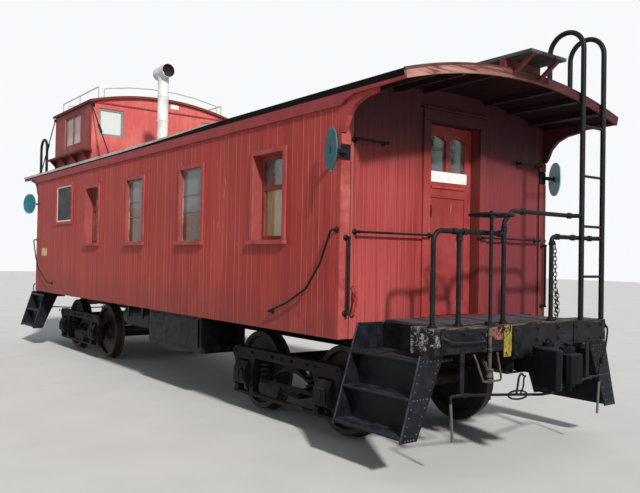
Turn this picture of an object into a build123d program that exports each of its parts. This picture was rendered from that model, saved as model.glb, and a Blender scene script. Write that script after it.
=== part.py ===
# Wooden cupola caboose on two equalized trucks.
# Millimetres, +Z up, +X towards the end with the visible platform, -Y the long side in view.
# Z = 0 is the lowest point of the wheel flanges. The car stands on its wheels.
from build123d import *
from math import asin, cos, pi, radians, sin, sqrt
import os

os.makedirs("parts", exist_ok=True)

# Car body
body_length = 8700
body_width = 2743
body_bottom_z = 998
floor_top_z = 1147
floor_thickness = 45
wall_thickness = 140

# Roof
eave_z = 3070
roof_rise = 205
roof_thickness = 50
roof_side_overhang = 38.5
roof_end_setback = 81
roof_facets = 24
fascia_thickness = 22
fascia_depth = 150
fascia_tip_depth = 72
end_arch_thickness = 20
end_arch_depth = 78
end_arch_proud = 6
purlin_width = 44
purlin_depth = 40
bracket_thickness = 45
bracket_reach = 430
bracket_drop = 370

# Side windows, counted from the near end
window_count = 4
window_end_margin = 1080
window_spacing = 1593
window_width = 520
window_sill_height = 678
window_height = 814
sash_setback = 95
sash_thickness = 34
sash_frame_width = 42
meeting_rail_share = 0.62
glass_thickness = 5
casing_width = 45
casing_proud = 20
sill_height = 40
sill_proud = 45
sill_horn = 15
curtain_thickness = 8
curtain_gap = 0.3

# End doors
door_opening_width = 660
door_opening_height = 1783
door_gap = 6
door_thickness = 50
door_light_width = 206
door_light_centre_y = 131
door_light_height = 328
door_light_top_margin = 103
door_light_arch = 37
door_panel_depth = 10
door_panel_margin = 90
door_panel_height = 970
door_pull_height = 913
door_pull_length = 110
hinge_pin_radius = 6
hinge_clearance = 0.05
hinge_offset = 10
hinge_length = 90
hinge_end_margin = 203

# Cupola
cupola_length = 1835
cupola_far_margin = 390
cupola_side_inset = 166.5
cupola_wall = 60
cupola_height = 1000
cupola_rise = 184
cupola_roof_thickness = 40
cupola_roof_overhang = 45
cupola_facets = 20
cupola_window_top_drop = 110
cupola_side_window_margin = 520
cupola_side_window_width = 800
cupola_side_window_height = 520
cupola_end_window_y = 890
cupola_end_window_width = 400
cupola_end_window_height = 430
cupola_sash_thickness = 30
cupola_sash_width = 35
stay_radius = 9
stay_reach = 815
stay_outset = 10
buckle_radius = 20

# Roof walk, cupola shelves and their supports
walk_board_width = 150
walk_gap = 12
walk_thickness = 28
walk_height = 111
walk_overhang = 242
walk_cupola_gap = 60
saddle_width = 60
saddle_spacing = 1000
shelf_width = 125
shelf_thickness = 26
shelf_height = 205
shelf_bracket_thickness = 14

# Smoke jack
jack_x = -840
jack_y = -600
jack_radius = 78
jack_wall = 6
jack_height = 1107
jack_head_radius = 98
jack_head_length = 330
jack_flange_width = 60

# Platforms and end beams
platform_depth = 861
beam_thickness = 250
beam_depth = 200
beam_inset = 243.5
platform_sill_width = 60
platform_sill_depth = 155

# Steps
stringer_thickness = 12
stringer_drop = 17
stringer_bottom_z = 320
stringer_outer_top_inset = 214.5
stringer_outer_bottom_outset = 33.5
stringer_top_width = 279
stringer_bottom_width = 170
stringer_beam_inset = 70
platform_edge_gap = 32
tread_count = 3
tread_first_z = 364
tread_rise = 273
tread_depth = 180
tread_thickness = 26
riser_thickness = 8

# Centre sill and floor frame
sill_web_inner_y = 150
sill_web_thickness = 15
sill_flange_y = 235
sill_flange_thickness = 12
sill_bottom_z = 740
side_sill_width = 101.5
side_sill_depth = 100
crossbearer_width = 110
crossbearer_truck_gap = 65
body_bolster_width = 300

# Trucks
truck_inset = 1316
axle_spacing = 1450
wheel_radius = 419
flange_height = 25
wheel_inner_y = 682
wheel_width = 135
flange_width = 32
rim_depth = 58
axle_radius = 70
wheel_seat_radius = 82
journal_radius = 56
journal_end_y = 1048
journal_clearance = 0.08
side_frame_y = 980
side_frame_width = 90
side_frame_low_z = 600
side_frame_depth = 100
side_frame_overhang = 230
transom_inner_x = 165
transom_width = 90
transom_depth = 70
pedestal_width = 80
pedestal_foot_z = 225
tie_bar_thickness = 25
jaw_half = 118
box_slack = 6
box_above_axle = 108
box_below_axle = 130
equalizer_spring_z = 385
equalizer_depth = 42
equalizer_thickness = 22
equalizer_gap = 4
coil_spring_x = 402
coil_spring_y = 934
coil_radius = 66
coil_wire_radius = 13
coil_pitch = 50
coil_seat_thickness = 10
coil_gap = 0.2
plank_top_z = 300
plank_thickness = 30
hanger_width = 60
bolster_bottom_z = 560
bolster_depth = 125
bolster_end_depth = 70
bolster_half_width = 150
bolster_half_length = 914
leaf_inner_y = 832
leaf_width = 80
leaf_thickness = 11
leaf_half_length = 325
leaf_band_half = 36
centre_plate_radius = 150
centre_plate_height = 30
centre_plate_gap = 0.4
king_pin_radius = 28
king_pin_clearance = 0.08

# Couplers and uncoupling levers
coupler_z = 820
coupler_shank_half = 62
coupler_reach = 439
coupler_head_height = 320
coupler_head_chamfer = 7
coupler_corner_radius = 12
coupler_lug_thickness = 46
knuckle_gap = 2
knuckle_pin_radius = 20
knuckle_clearance = 0.3
lever_radius = 11
lever_end_inset = 173

# Railings, ladders, hand brakes and hand irons
rail_radius = 20
railing_inset = 101
railing_height = 746
high_bar_height = 943
rail_foot_radius = 38
rail_foot_thickness = 14
gate_left_y = 220
gate_right_y = 430
middle_post_offset = 288
ladder_radius = 24
ladder_roof_gap = 32
ladder_width = 325
ladder_edge_inset = 28
ladder_first_rung = 393
ladder_rung_spacing = 457
ladder_rung_radius = 12
ladder_hoop_radius = 180
ladder_hoop_height = 550
ladder_joint_gap = 0.3
staff_y = 450
staff_radius = 15
staff_outset = 58
staff_height = 924
hand_wheel_height = 889
hand_wheel_radius = 174
hand_wheel_rim_radius = 12
hand_wheel_spokes = 5
iron_radius = 10
iron_standoff = 62
iron_bend = 25
roof_rail_height = 185
roof_rail_inset = 160

# Marker targets
marker_radius = 176
marker_thickness = 10
marker_z = 2540
marker_standoff = 40
marker_clearance = 0.3

# Tool box and air reservoir
box_x0 = 280
box_truck_gap = 165
box_side_inset = 149.5
box_depth_y = 572
box_bottom_z = 560
box_front_thickness = 14
tank_radius = 150
tank_length = 966
tank_x = -593
tank_z = 790
tank_sill_gap = 80
tank_strap_width = 60

# Derived places
body_end = body_length / 2
body_side = body_width / 2
wall_inner_y = body_side - wall_thickness
wall_inner_x = body_end - wall_thickness
floor_bottom_z = floor_top_z - floor_thickness
crown_z = eave_z + roof_rise
beam_face_x = body_end + platform_depth
beam_back_x = beam_face_x - beam_thickness
beam_bottom_z = floor_top_z - beam_depth
beam_half_width = body_side - beam_inset
roof_end_x = beam_face_x - roof_end_setback
roof_half_width = body_side + roof_side_overhang
roof_radius = (roof_half_width**2 + roof_rise**2) / (2 * roof_rise)
window_sill_z = floor_top_z + window_sill_height
window_head_z = window_sill_z + window_height
meeting_rail_z = window_sill_z + meeting_rail_share * window_height
window_centres_x = [body_end - window_end_margin - window_spacing * place for place in range(window_count)]
door_head_z = floor_top_z + door_opening_height
sill_web_outer_y = sill_web_inner_y + sill_web_thickness
side_sill_inner_y = wall_inner_y - side_sill_width
truck_centre_x = body_end - truck_inset
half_base = axle_spacing / 2
flange_radius = wheel_radius + flange_height
axle_z = flange_radius
wheel_edge_x = truck_centre_x - half_base - flange_radius
cupola_far_x = cupola_far_margin - body_end
cupola_near_x = cupola_far_x + cupola_length
cupola_half_width = body_side - cupola_side_inset
cupola_roof_half_width = cupola_half_width + cupola_roof_overhang
cupola_eave_z = eave_z + cupola_height
cupola_crown_z = cupola_eave_z + cupola_rise
cupola_radius = (cupola_roof_half_width**2 + cupola_rise**2) / (2 * cupola_rise)
railing_x = beam_face_x - railing_inset
ladder_x = roof_end_x + end_arch_thickness + ladder_roof_gap
ladder_outer_y = beam_half_width - ladder_edge_inset
ladder_inner_y = ladder_outer_y - ladder_width


def block(x0, x1, y0, y1, z0, z1):
    """A box between three pairs of limits."""
    corner = Pos(min(x0, x1), min(y0, y1), min(z0, z1))
    return corner * Box(abs(x1 - x0), abs(y1 - y0), abs(z1 - z0), align=(Align.MIN, Align.MIN, Align.MIN))


def post(x, y, z0, z1, radius):
    """An upright round bar between two heights."""
    return Pos(x, y, z0) * Cylinder(radius, z1 - z0, align=(Align.CENTER, Align.CENTER, Align.MIN))


def prism_x(points, x0, x1):
    """Extrudes a (y, z) outline along X."""
    wire = Polyline(*[(x0, y, z) for y, z in points], close=True)
    return extrude(make_face(wire), amount=x1 - x0, dir=(1, 0, 0))


def prism_y(points, y0, y1):
    """Extrudes an (x, z) outline along Y."""
    wire = Polyline(*[(x, y0, z) for x, z in points], close=True)
    return extrude(make_face(wire), amount=y1 - y0, dir=(0, 1, 0))


def prism_z(points, z0, z1):
    """Extrudes an (x, y) outline along Z."""
    wire = Polyline(*[(x, y, z0) for x, y in points], close=True)
    return extrude(make_face(wire), amount=z1 - z0, dir=(0, 0, 1))


def turned_about_y(profile):
    """Revolves a (y, radius) outline about the Y axis."""
    return revolve(make_face(Polyline(*[(0, y, r) for y, r in profile], close=True)), axis=Axis.Y)


def arch_points(half_width, edge_z, rise, drop, facets):
    """(y, z) points of a shallow arch from -Y to +Y, a given depth below its outer line."""
    radius = (half_width**2 + rise**2) / (2 * rise)
    centre_z = edge_z + rise - radius
    half_angle = asin(half_width / radius)
    points = []
    for step in range(facets + 1):
        angle = half_angle * (2 * step / facets - 1)
        points.append(((radius - drop) * sin(angle), centre_z + (radius - drop) * cos(angle)))
    return points


def arch_band(half_width, edge_z, rise, top_drop, bottom_drop, facets):
    """Outline of a layer of the arch between two depths."""
    outer = arch_points(half_width, edge_z, rise, top_drop, facets)
    inner = arch_points(half_width, edge_z, rise, bottom_drop, facets)
    return outer + inner[::-1]


def roof_height(y):
    """Height of the main roof's outer surface."""
    return crown_z - roof_radius + sqrt(roof_radius**2 - y**2)


def cupola_roof_height(y):
    """Height of the cupola roof's outer surface."""
    return cupola_crown_z - cupola_radius + sqrt(cupola_radius**2 - y**2)


def pipe(points, radius, bend):
    """A round bar along a bent line."""
    path = FilletPolyline(*points, radius=bend) if len(points) > 2 else Line(*points)
    section = Plane(origin=path @ 0, z_dir=path % 0) * Circle(radius)
    return sweep(section, path=path)


def rod(start, end, radius):
    """A straight round bar between two points."""
    return pipe((start, end), radius, 0)


def turned(shape):
    """The same piece at the other end of the car, turned half round."""
    return Rot(0, 0, 180) * shape


def both_ends(shapes):
    return list(shapes) + [turned(shape) for shape in shapes]


def both_sides(shapes):
    return list(shapes) + [mirror(shape, about=Plane.XZ) for shape in shapes]


def solids_of(shapes):
    found = []
    for shape in shapes:
        found.extend(shape.solids())
    return found


def largest(shape):
    """The main piece of a shape that a cut has left with offcuts."""
    return shape.solids().sort_by(SortBy.VOLUME)[-1]


def save(node, shapes):
    """Writes one node as one STEP file."""
    solids = solids_of(shapes if isinstance(shapes, (list, tuple)) else [shapes])
    export_step(Compound(solids) if len(solids) > 1 else solids[0], "parts/" + node + ".step")


# The spaces below the main roof boards and below their outer surface
deep = floor_top_z - 650
roof_under = arch_points(roof_half_width, eave_z, roof_rise, roof_thickness, roof_facets)
under_roof = prism_x(roof_under + [(roof_half_width, deep), (-roof_half_width, deep)], -roof_end_x, roof_end_x)
roof_outer = arch_points(roof_half_width, eave_z, roof_rise, 0, roof_facets)
below_roof_top = prism_x(
    roof_outer + [(roof_half_width, deep), (-roof_half_width, deep)], -roof_end_x, roof_end_x
)

# Centre sill, open below for the draft gear and carried under both end beams
flange_top = floor_bottom_z
flange_under = floor_bottom_z - sill_flange_thickness
foot_top = sill_bottom_z + sill_flange_thickness
sill_outline = [
    (-sill_flange_y, flange_top),
    (sill_flange_y, flange_top),
    (sill_flange_y, flange_under),
    (sill_web_outer_y, flange_under),
    (sill_web_outer_y, foot_top),
    (sill_flange_y, foot_top),
    (sill_flange_y, sill_bottom_z),
    (sill_web_inner_y, sill_bottom_z),
    (sill_web_inner_y, flange_under),
    (-sill_web_inner_y, flange_under),
    (-sill_web_inner_y, sill_bottom_z),
    (-sill_flange_y, sill_bottom_z),
    (-sill_flange_y, foot_top),
    (-sill_web_outer_y, foot_top),
    (-sill_web_outer_y, flange_under),
    (-sill_flange_y, flange_under),
]
sill_end_x = beam_face_x - 40
centre_plate_z = sill_bottom_z - centre_plate_height
shank_low_z = coupler_z - 70
centre_sill = prism_x(sill_outline, -sill_end_x, sill_end_x)
for end in (1, -1):
    plate_x = end * truck_centre_x
    centre_sill -= block(end * beam_back_x, end * (beam_face_x + 10), -400, 400, beam_bottom_z, floor_top_z)
    # centre filler with the centre plate and king pin under it
    centre_sill += block(
        plate_x - 160, plate_x + 160, -sill_web_outer_y, sill_web_outer_y, sill_bottom_z, sill_bottom_z + 20
    )
    centre_sill += post(plate_x, 0, centre_plate_z, sill_bottom_z, centre_plate_radius)
    centre_sill += post(plate_x, 0, bolster_bottom_z + 20, sill_bottom_z, king_pin_radius)
    # carrier iron below the coupler shank
    centre_sill += block(
        end * (sill_end_x - 45),
        end * sill_end_x,
        -sill_web_outer_y,
        sill_web_outer_y,
        sill_bottom_z,
        shank_low_z - 0.3,
    )
save("centre_sill", centre_sill)

# Side sills under the cabin and short sills under the platforms
platform_half_width = body_side - stringer_outer_top_inset - stringer_top_width - platform_edge_gap
side_sill = block(
    -wall_inner_x,
    wall_inner_x,
    -side_sill_inner_y,
    -wall_inner_y,
    floor_bottom_z - side_sill_depth,
    floor_bottom_z,
)
platform_sill = block(
    body_end,
    beam_back_x,
    -platform_half_width,
    -platform_half_width + platform_sill_width,
    floor_bottom_z - platform_sill_depth,
    floor_bottom_z,
)
save("side_sills", both_sides([side_sill]) + both_ends(both_sides([platform_sill])))

# Body bolsters over the trucks and crossbearers between them, deeper towards the centre sill
crossbearer_x = wheel_edge_x - crossbearer_truck_gap
bearers = (
    # x, width, depth at the centre sill, depth at the side sill
    (truck_centre_x, body_bolster_width, 290, 150),
    (crossbearer_x, crossbearer_width, 260, 110),
    (0, crossbearer_width, 260, 110),
    (-crossbearer_x, crossbearer_width, 260, 110),
    (-truck_centre_x, body_bolster_width, 290, 150),
)
crossbearers = []
for x, width, inner_depth, outer_depth in bearers:
    outline = [
        (-sill_web_outer_y, floor_bottom_z - inner_depth),
        (-sill_web_outer_y, flange_under),
        (-sill_flange_y, flange_under),
        (-sill_flange_y, floor_bottom_z),
        (-side_sill_inner_y, floor_bottom_z),
        (-side_sill_inner_y, floor_bottom_z - outer_depth),
    ]
    crossbearers += both_sides([prism_x(outline, x - width / 2, x + width / 2)])
save("crossbearers", crossbearers)

# Floors: the cabin floor and the two platform floors
cabin_floor = block(-wall_inner_x, wall_inner_x, -wall_inner_y, wall_inner_y, floor_bottom_z, floor_top_z)
platform_floor = block(
    body_end, beam_back_x, -platform_half_width, platform_half_width, floor_bottom_z, floor_top_z
)
save("floors", [cabin_floor] + both_ends([platform_floor]))

# Side walls with their window openings
side_wall = block(-body_end, body_end, -body_side, -wall_inner_y, body_bottom_z, crown_z) & under_roof
for x in window_centres_x:
    left = x - window_width / 2
    right = x + window_width / 2
    side_wall -= block(left, right, -body_side - 1, -wall_inner_y + 1, window_sill_z, window_head_z)
save("side_walls", both_sides([side_wall]))

# End walls with door openings, notched over the centre sill
door_half_opening = door_opening_width / 2
end_wall = block(wall_inner_x, body_end, -wall_inner_y, wall_inner_y, body_bottom_z, crown_z) & under_roof
end_wall -= block(
    wall_inner_x - 1, body_end + 1, -door_half_opening, door_half_opening, floor_top_z, door_head_z
)
end_wall -= block(
    wall_inner_x - 1, body_end + 1, -sill_flange_y, sill_flange_y, body_bottom_z - 1, floor_bottom_z
)
save("end_walls", both_ends([end_wall]))

# Window casings with their sills, sashes of two lights, and panes
casings = []
side_sashes = []
side_panes = []
for x in window_centres_x:
    left = x - window_width / 2
    right = x + window_width / 2
    casing = block(
        left - casing_width,
        right + casing_width,
        -body_side - casing_proud,
        -body_side,
        window_sill_z,
        window_head_z + casing_width,
    )
    casing -= block(left, right, -body_side - 100, -body_side + 1, window_sill_z - 1, window_head_z)
    casing += block(
        left - casing_width - sill_horn,
        right + casing_width + sill_horn,
        -body_side - sill_proud,
        -body_side,
        window_sill_z - sill_height,
        window_sill_z,
    )
    casings.append(casing)
    sash_y = -body_side + sash_setback
    glass_y = sash_y + sash_thickness / 2
    light_left = left + sash_frame_width
    light_right = right - sash_frame_width
    sash = block(left, right, sash_y, sash_y + sash_thickness, window_sill_z, window_head_z)
    lights = (
        (window_sill_z + sash_frame_width, meeting_rail_z - sash_frame_width / 2),
        (meeting_rail_z + sash_frame_width / 2, window_head_z - sash_frame_width),
    )
    for bottom, top in lights:
        sash -= block(light_left, light_right, sash_y - 1, sash_y + sash_thickness + 1, bottom, top)
        side_panes.append(block(light_left, light_right, glass_y, glass_y + glass_thickness, bottom, top))
    side_sashes.append(sash)
save("window_casings", both_sides(casings))

# Cupola walls, one built-up box that stands on the main roof
cupola_under = arch_points(
    cupola_roof_half_width, cupola_eave_z, cupola_rise, cupola_roof_thickness, cupola_facets
)
under_cupola_roof = prism_x(
    cupola_under + [(cupola_roof_half_width, eave_z - 170), (-cupola_roof_half_width, eave_z - 170)],
    cupola_far_x - 200,
    cupola_near_x + 200,
)
cupola_box = block(
    cupola_far_x, cupola_near_x, -cupola_half_width, cupola_half_width, eave_z - 70, cupola_crown_z
)
cupola_inside = block(
    cupola_far_x + cupola_wall,
    cupola_near_x - cupola_wall,
    -cupola_half_width + cupola_wall,
    cupola_half_width - cupola_wall,
    eave_z - 170,
    cupola_crown_z + 100,
)
cupola_walls = (cupola_box & under_cupola_roof) - cupola_inside - below_roof_top
window_top_z = cupola_eave_z - cupola_window_top_drop
side_low_z = window_top_z - cupola_side_window_height
end_low_z = window_top_z - cupola_end_window_height
side_x0 = cupola_far_x + cupola_side_window_margin
side_x1 = side_x0 + cupola_side_window_width
half_sash = cupola_sash_thickness / 2
half_glass = glass_thickness / 2
frame = cupola_sash_width
cupola_sashes = []
cupola_panes = []
for side in (1, -1):
    # sliding window in the long wall, two lights beside each other
    inner = side * (cupola_half_width - cupola_wall)
    outer = side * cupola_half_width
    cupola_walls -= block(side_x0, side_x1, inner, outer, side_low_z, window_top_z)
    middle = (inner + outer) / 2
    centre_x = (side_x0 + side_x1) / 2
    sash = block(side_x0, side_x1, middle - half_sash, middle + half_sash, side_low_z, window_top_z)
    for x0, x1 in ((side_x0 + frame, centre_x - frame / 2), (centre_x + frame / 2, side_x1 - frame)):
        low = side_low_z + frame
        high = window_top_z - frame
        sash -= block(x0, x1, middle - cupola_wall, middle + cupola_wall, low, high)
        cupola_panes.append(block(x0, x1, middle - half_glass, middle + half_glass, low, high))
    cupola_sashes.append(sash)
    # one light in each end wall
    y0 = side * cupola_end_window_y - cupola_end_window_width / 2
    y1 = side * cupola_end_window_y + cupola_end_window_width / 2
    for end_x, inward in ((cupola_near_x, -1), (cupola_far_x, 1)):
        inside_x = end_x + inward * cupola_wall
        cupola_walls -= block(end_x, inside_x, y0, y1, end_low_z, window_top_z)
        middle = (end_x + inside_x) / 2
        sash = block(middle - half_sash, middle + half_sash, y0, y1, end_low_z, window_top_z)
        low = end_low_z + frame
        high = window_top_z - frame
        sash -= block(middle - cupola_wall, middle + cupola_wall, y0 + frame, y1 - frame, low, high)
        cupola_sashes.append(sash)
        cupola_panes.append(
            block(middle - half_glass, middle + half_glass, y0 + frame, y1 - frame, low, high)
        )
save("cupola_walls", cupola_walls)
save("window_sashes", both_sides(side_sashes) + cupola_sashes)
save("window_glass", both_sides(side_panes) + cupola_panes)

# Main roof, open below the cupola
main_roof = prism_x(
    arch_band(roof_half_width, eave_z, roof_rise, 0, roof_thickness, roof_facets), -roof_end_x, roof_end_x
)
save("main_roof", main_roof - cupola_inside)

# Fascia boards along both eaves, cut narrower beyond the body
tip_z = eave_z - fascia_tip_depth
half_fascia = [
    (body_end + 30, eave_z - fascia_depth),
    (body_end + 90, tip_z - 40),
    (body_end + 190, tip_z - 12),
    (roof_end_x, tip_z),
    (roof_end_x, eave_z + 100),
]
fascia_outline = half_fascia + [(-x, z) for x, z in reversed(half_fascia)]
fascia = prism_y(fascia_outline, -body_side - fascia_thickness, -body_side) & under_roof
save("side_fascias", both_sides([fascia]))

# Arched boards over both roof ends
end_arch = prism_x(
    arch_band(roof_half_width, eave_z, roof_rise, -end_arch_proud, end_arch_depth, roof_facets),
    roof_end_x,
    roof_end_x + end_arch_thickness,
)
save("roof_end_arches", both_ends([end_arch]))

# Canopy framing: purlins under the overhanging roof and curved brackets at the corners
canopy = []
facet_angle = 2 * asin(roof_half_width / roof_radius) / roof_facets
face_radius = (roof_radius - roof_thickness) * cos(facet_angle / 2)
for facet in (-9.5, -6.5, -3.5, 3.5, 6.5, 9.5):
    angle = facet * facet_angle
    purlin = Box(roof_end_x - body_end, purlin_width, purlin_depth, align=(Align.MIN, Align.CENTER, Align.MAX))
    place = Pos(body_end, face_radius * sin(angle), crown_z - roof_radius + face_radius * cos(angle))
    canopy.append(place * Rot(-angle * 180 / pi, 0, 0) * purlin)
bracket_curve = (
    # share of the reach, share of the drop
    (0, 1),
    (0.065, 1),
    (0.14, 0.88),
    (0.23, 0.65),
    (0.4, 0.46),
    (0.65, 0.34),
    (1, 0.284),
)
bracket_outline = [
    (body_end + bracket_reach * out, eave_z - bracket_drop * down) for out, down in bracket_curve
]
bracket_outline += [(body_end + bracket_reach, eave_z + 30), (body_end, eave_z + 30)]
bracket = prism_y(bracket_outline, -body_side, -body_side + bracket_thickness) & under_roof
save("canopy_framing", both_ends(canopy + both_sides([bracket])))

# Roof walk of three boards from each end to the cupola, and a shelf board along each cupola side
walk_top_z = crown_z + walk_height
walk_low_z = walk_top_z - walk_thickness
walk_end_x = roof_end_x + walk_overhang
walk_half = 1.5 * walk_board_width + walk_gap
near_walk = (cupola_near_x + walk_cupola_gap, walk_end_x)
far_walk = (-walk_end_x, cupola_far_x - walk_cupola_gap)
boards = []
for x0, x1 in (near_walk, far_walk):
    for row in (-1, 0, 1):
        y = row * (walk_board_width + walk_gap)
        boards.append(
            block(x0, x1, y - walk_board_width / 2, y + walk_board_width / 2, walk_low_z, walk_top_z)
        )
shelf_outer_y = cupola_half_width + shelf_width
shelf_top_z = roof_height(shelf_outer_y) + shelf_height
shelf_low_z = shelf_top_z - shelf_thickness
shelf = block(
    cupola_far_x - 60, cupola_near_x + 60, -shelf_outer_y, -cupola_half_width, shelf_low_z, shelf_top_z
)
save("roof_walk", boards + both_sides([shelf]))

# Saddles below the walk, struts at its overhanging ends, and brackets below the shelves
saddles = []
for x0, x1 in ((cupola_near_x + 225, roof_end_x - 50), (50 - roof_end_x, cupola_far_x - 340)):
    bays = max(1, round((x1 - x0) / saddle_spacing))
    for step in range(bays + 1):
        x = x0 + (x1 - x0) * step / bays
        saddle = block(
            x - saddle_width / 2, x + saddle_width / 2, -walk_half, walk_half, crown_z - 75, walk_low_z
        )
        saddles.append(saddle - below_roof_top)
strut_outline = [
    (roof_end_x + end_arch_thickness, crown_z - 60),
    (roof_end_x + end_arch_thickness, crown_z - 30),
    (walk_end_x - 60, walk_low_z),
    (walk_end_x - 20, walk_low_z),
]
for y in (-190, 150):
    saddles += both_ends([prism_y(strut_outline, y, y + 40)])
shelf_bracket_outline = [
    (-cupola_half_width, shelf_low_z - 135),
    (-cupola_half_width, shelf_low_z),
    (-shelf_outer_y + 12, shelf_low_z),
    (-shelf_outer_y + 12, shelf_low_z - 22),
]
for share in (0.06, 0.35, 0.65, 0.94):
    x = cupola_far_x + cupola_length * share
    saddles += both_sides(
        [prism_x(shelf_bracket_outline, x - shelf_bracket_thickness / 2, x + shelf_bracket_thickness / 2)]
    )
save("roof_walk_saddles", saddles)

# Cupola roof
cupola_roof = prism_x(
    arch_band(
        cupola_roof_half_width, cupola_eave_z, cupola_rise, 0, cupola_roof_thickness, cupola_facets
    ),
    cupola_far_x - cupola_roof_overhang,
    cupola_near_x + cupola_roof_overhang,
)
save("cupola_roof", cupola_roof)

# Stay rods from the cupola corners to the main roof, each with a turnbuckle
stay_top_z = cupola_eave_z - 70
stay_y = cupola_half_width + stay_outset
foot_z = roof_height(stay_y)
stays = []
for x, direction in ((cupola_near_x, 1), (cupola_far_x, -1)):
    for side in (1, -1):
        top = (x + direction * 12, side * stay_y, stay_top_z)
        foot = (x + direction * stay_reach, side * stay_y, foot_z)
        middle = [(a + b) / 2 for a, b in zip(top, foot)]
        step = [(b - a) / 14 for a, b in zip(top, foot)]
        buckle_a = tuple(m - s for m, s in zip(middle, step))
        buckle_b = tuple(m + s for m, s in zip(middle, step))
        stay = rod(top, foot, stay_radius) + rod(buckle_a, buckle_b, buckle_radius)
        stay += block(
            x,
            x + direction * 24,
            side * (cupola_half_width - 40),
            side * (stay_y + 15),
            stay_top_z - 25,
            stay_top_z + 25,
        )
        stay += block(
            foot[0] - 40, foot[0] + 40, side * (stay_y - 30), side * (stay_y + 30), foot_z - 65, foot_z + 16
        )
        stays.append(stay - below_roof_top)
save("cupola_stays", stays)

# Smoke jack: a pipe with an open barrel head
jack_foot_z = roof_height(jack_y) - 100
jack_top_z = roof_height(jack_y) + jack_height
flange_outer = jack_radius + jack_flange_width
jack = post(jack_x, jack_y, jack_foot_z, jack_top_z, jack_radius)
jack += post(jack_x, jack_y, jack_foot_z, roof_height(abs(jack_y) - flange_outer) + 3, flange_outer)
jack -= below_roof_top
head_place = Pos(jack_x, jack_y, jack_top_z) * Rot(0, 90, 0)
jack += head_place * Cylinder(jack_head_radius, jack_head_length)
jack -= head_place * Cylinder(jack_head_radius - jack_wall, jack_head_length + 10)
jack -= post(jack_x, jack_y, roof_height(jack_y) + 160, jack_top_z, jack_radius - jack_wall)
save("smoke_jack", jack)

# End beams of heavy timber
end_beam = block(beam_back_x, beam_face_x, -beam_half_width, beam_half_width, beam_bottom_z, floor_top_z)
save("end_beams", both_ends([end_beam]))

# Step stringers: one plate against the end wall, one below the end beam
stringer_top_z = floor_top_z - stringer_drop
outer_top_y = body_side - stringer_outer_top_inset
outer_bottom_y = body_side + stringer_outer_bottom_outset
inner_top_y = outer_top_y - stringer_top_width
inner_bottom_y = outer_bottom_y - stringer_bottom_width
front_plate_x = beam_face_x - stringer_beam_inset


def stringer_y(z, top_y, bottom_y):
    """Place of a slanted stringer edge at a height."""
    share = (stringer_top_z - z) / (stringer_top_z - stringer_bottom_z)
    return top_y + (bottom_y - top_y) * share


rear_outline = [
    (-outer_top_y, stringer_top_z),
    (-outer_bottom_y, stringer_bottom_z),
    (-inner_bottom_y, stringer_bottom_z),
    (-inner_top_y, stringer_top_z),
]
front_outline = [
    (-stringer_y(beam_bottom_z, outer_top_y, outer_bottom_y), beam_bottom_z),
    (-outer_bottom_y, stringer_bottom_z),
    (-inner_bottom_y, stringer_bottom_z),
    (-stringer_y(beam_bottom_z, inner_top_y, inner_bottom_y), beam_bottom_z),
]
rear_plate = prism_x(rear_outline, body_end, body_end + stringer_thickness)
front_plate = prism_x(front_outline, front_plate_x, front_plate_x + stringer_thickness)
save("step_stringers", both_ends(both_sides([rear_plate, front_plate])))

# Step treads, each with a riser up to the next one
treads = []
tread_x0 = body_end + stringer_thickness
for level in range(tread_count):
    top_z = tread_first_z + level * tread_rise
    outer_y = stringer_y(top_z, outer_top_y, outer_bottom_y)
    last = level == tread_count - 1
    inner_y = platform_half_width if last else outer_y - tread_depth
    tread = block(tread_x0, front_plate_x, -outer_y, -inner_y, top_z - tread_thickness, top_z)
    if not last:
        riser_top = top_z + tread_rise - tread_thickness
        tread += block(tread_x0, front_plate_x, -inner_y - riser_thickness, -inner_y, top_z, riser_top)
    treads.append(tread)
save("step_treads", both_ends(both_sides(treads)))


# Roof ladders with hoops over the roof edge
def ladder():
    shape = None
    crown = ladder_hoop_height + eave_z + ladder_hoop_radius
    inner_x = ladder_x - 2 * ladder_hoop_radius
    for y in (ladder_inner_y, ladder_outer_y):
        foot = roof_height(y) - 30
        line = ((ladder_x, y, floor_top_z), (ladder_x, y, crown), (inner_x, y, crown), (inner_x, y, foot))
        stile = pipe(line, ladder_radius, ladder_hoop_radius - 1)
        shape = stile if shape is None else shape + stile
    rung_count = int((eave_z - floor_top_z - ladder_first_rung) / ladder_rung_spacing) + 1
    for number in range(rung_count):
        z = floor_top_z + ladder_first_rung + number * ladder_rung_spacing
        shape += rod((ladder_x, ladder_inner_y, z), (ladder_x, ladder_outer_y, z), ladder_rung_radius)
    return shape - below_roof_top


save("roof_ladders", both_ends([ladder()]))

# Railings on the end beam, which end against the ladder's stiles
railing_top_z = floor_top_z + railing_height
high_bar_z = floor_top_z + high_bar_height
left_post_y = -(beam_half_width - 78)
middle_post_y = left_post_y + middle_post_offset
left_rail = pipe(
    (
        (railing_x, left_post_y, floor_top_z),
        (railing_x, left_post_y, railing_top_z),
        (railing_x, -gate_left_y, railing_top_z),
    ),
    rail_radius,
    90,
)
left_rail += post(railing_x, middle_post_y, floor_top_z, railing_top_z, rail_radius)
left_rail += pipe(
    (
        (railing_x, -gate_left_y, floor_top_z),
        (railing_x, -gate_left_y, high_bar_z - 100),
        (railing_x, 100 - gate_left_y, high_bar_z),
        (railing_x, ladder_inner_y - 60, high_bar_z),
        (ladder_x, ladder_inner_y - 10, high_bar_z),
    ),
    rail_radius,
    50,
)
for y in (left_post_y, middle_post_y, -gate_left_y):
    left_rail += post(railing_x, y, floor_top_z, floor_top_z + rail_foot_thickness, rail_foot_radius)
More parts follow.
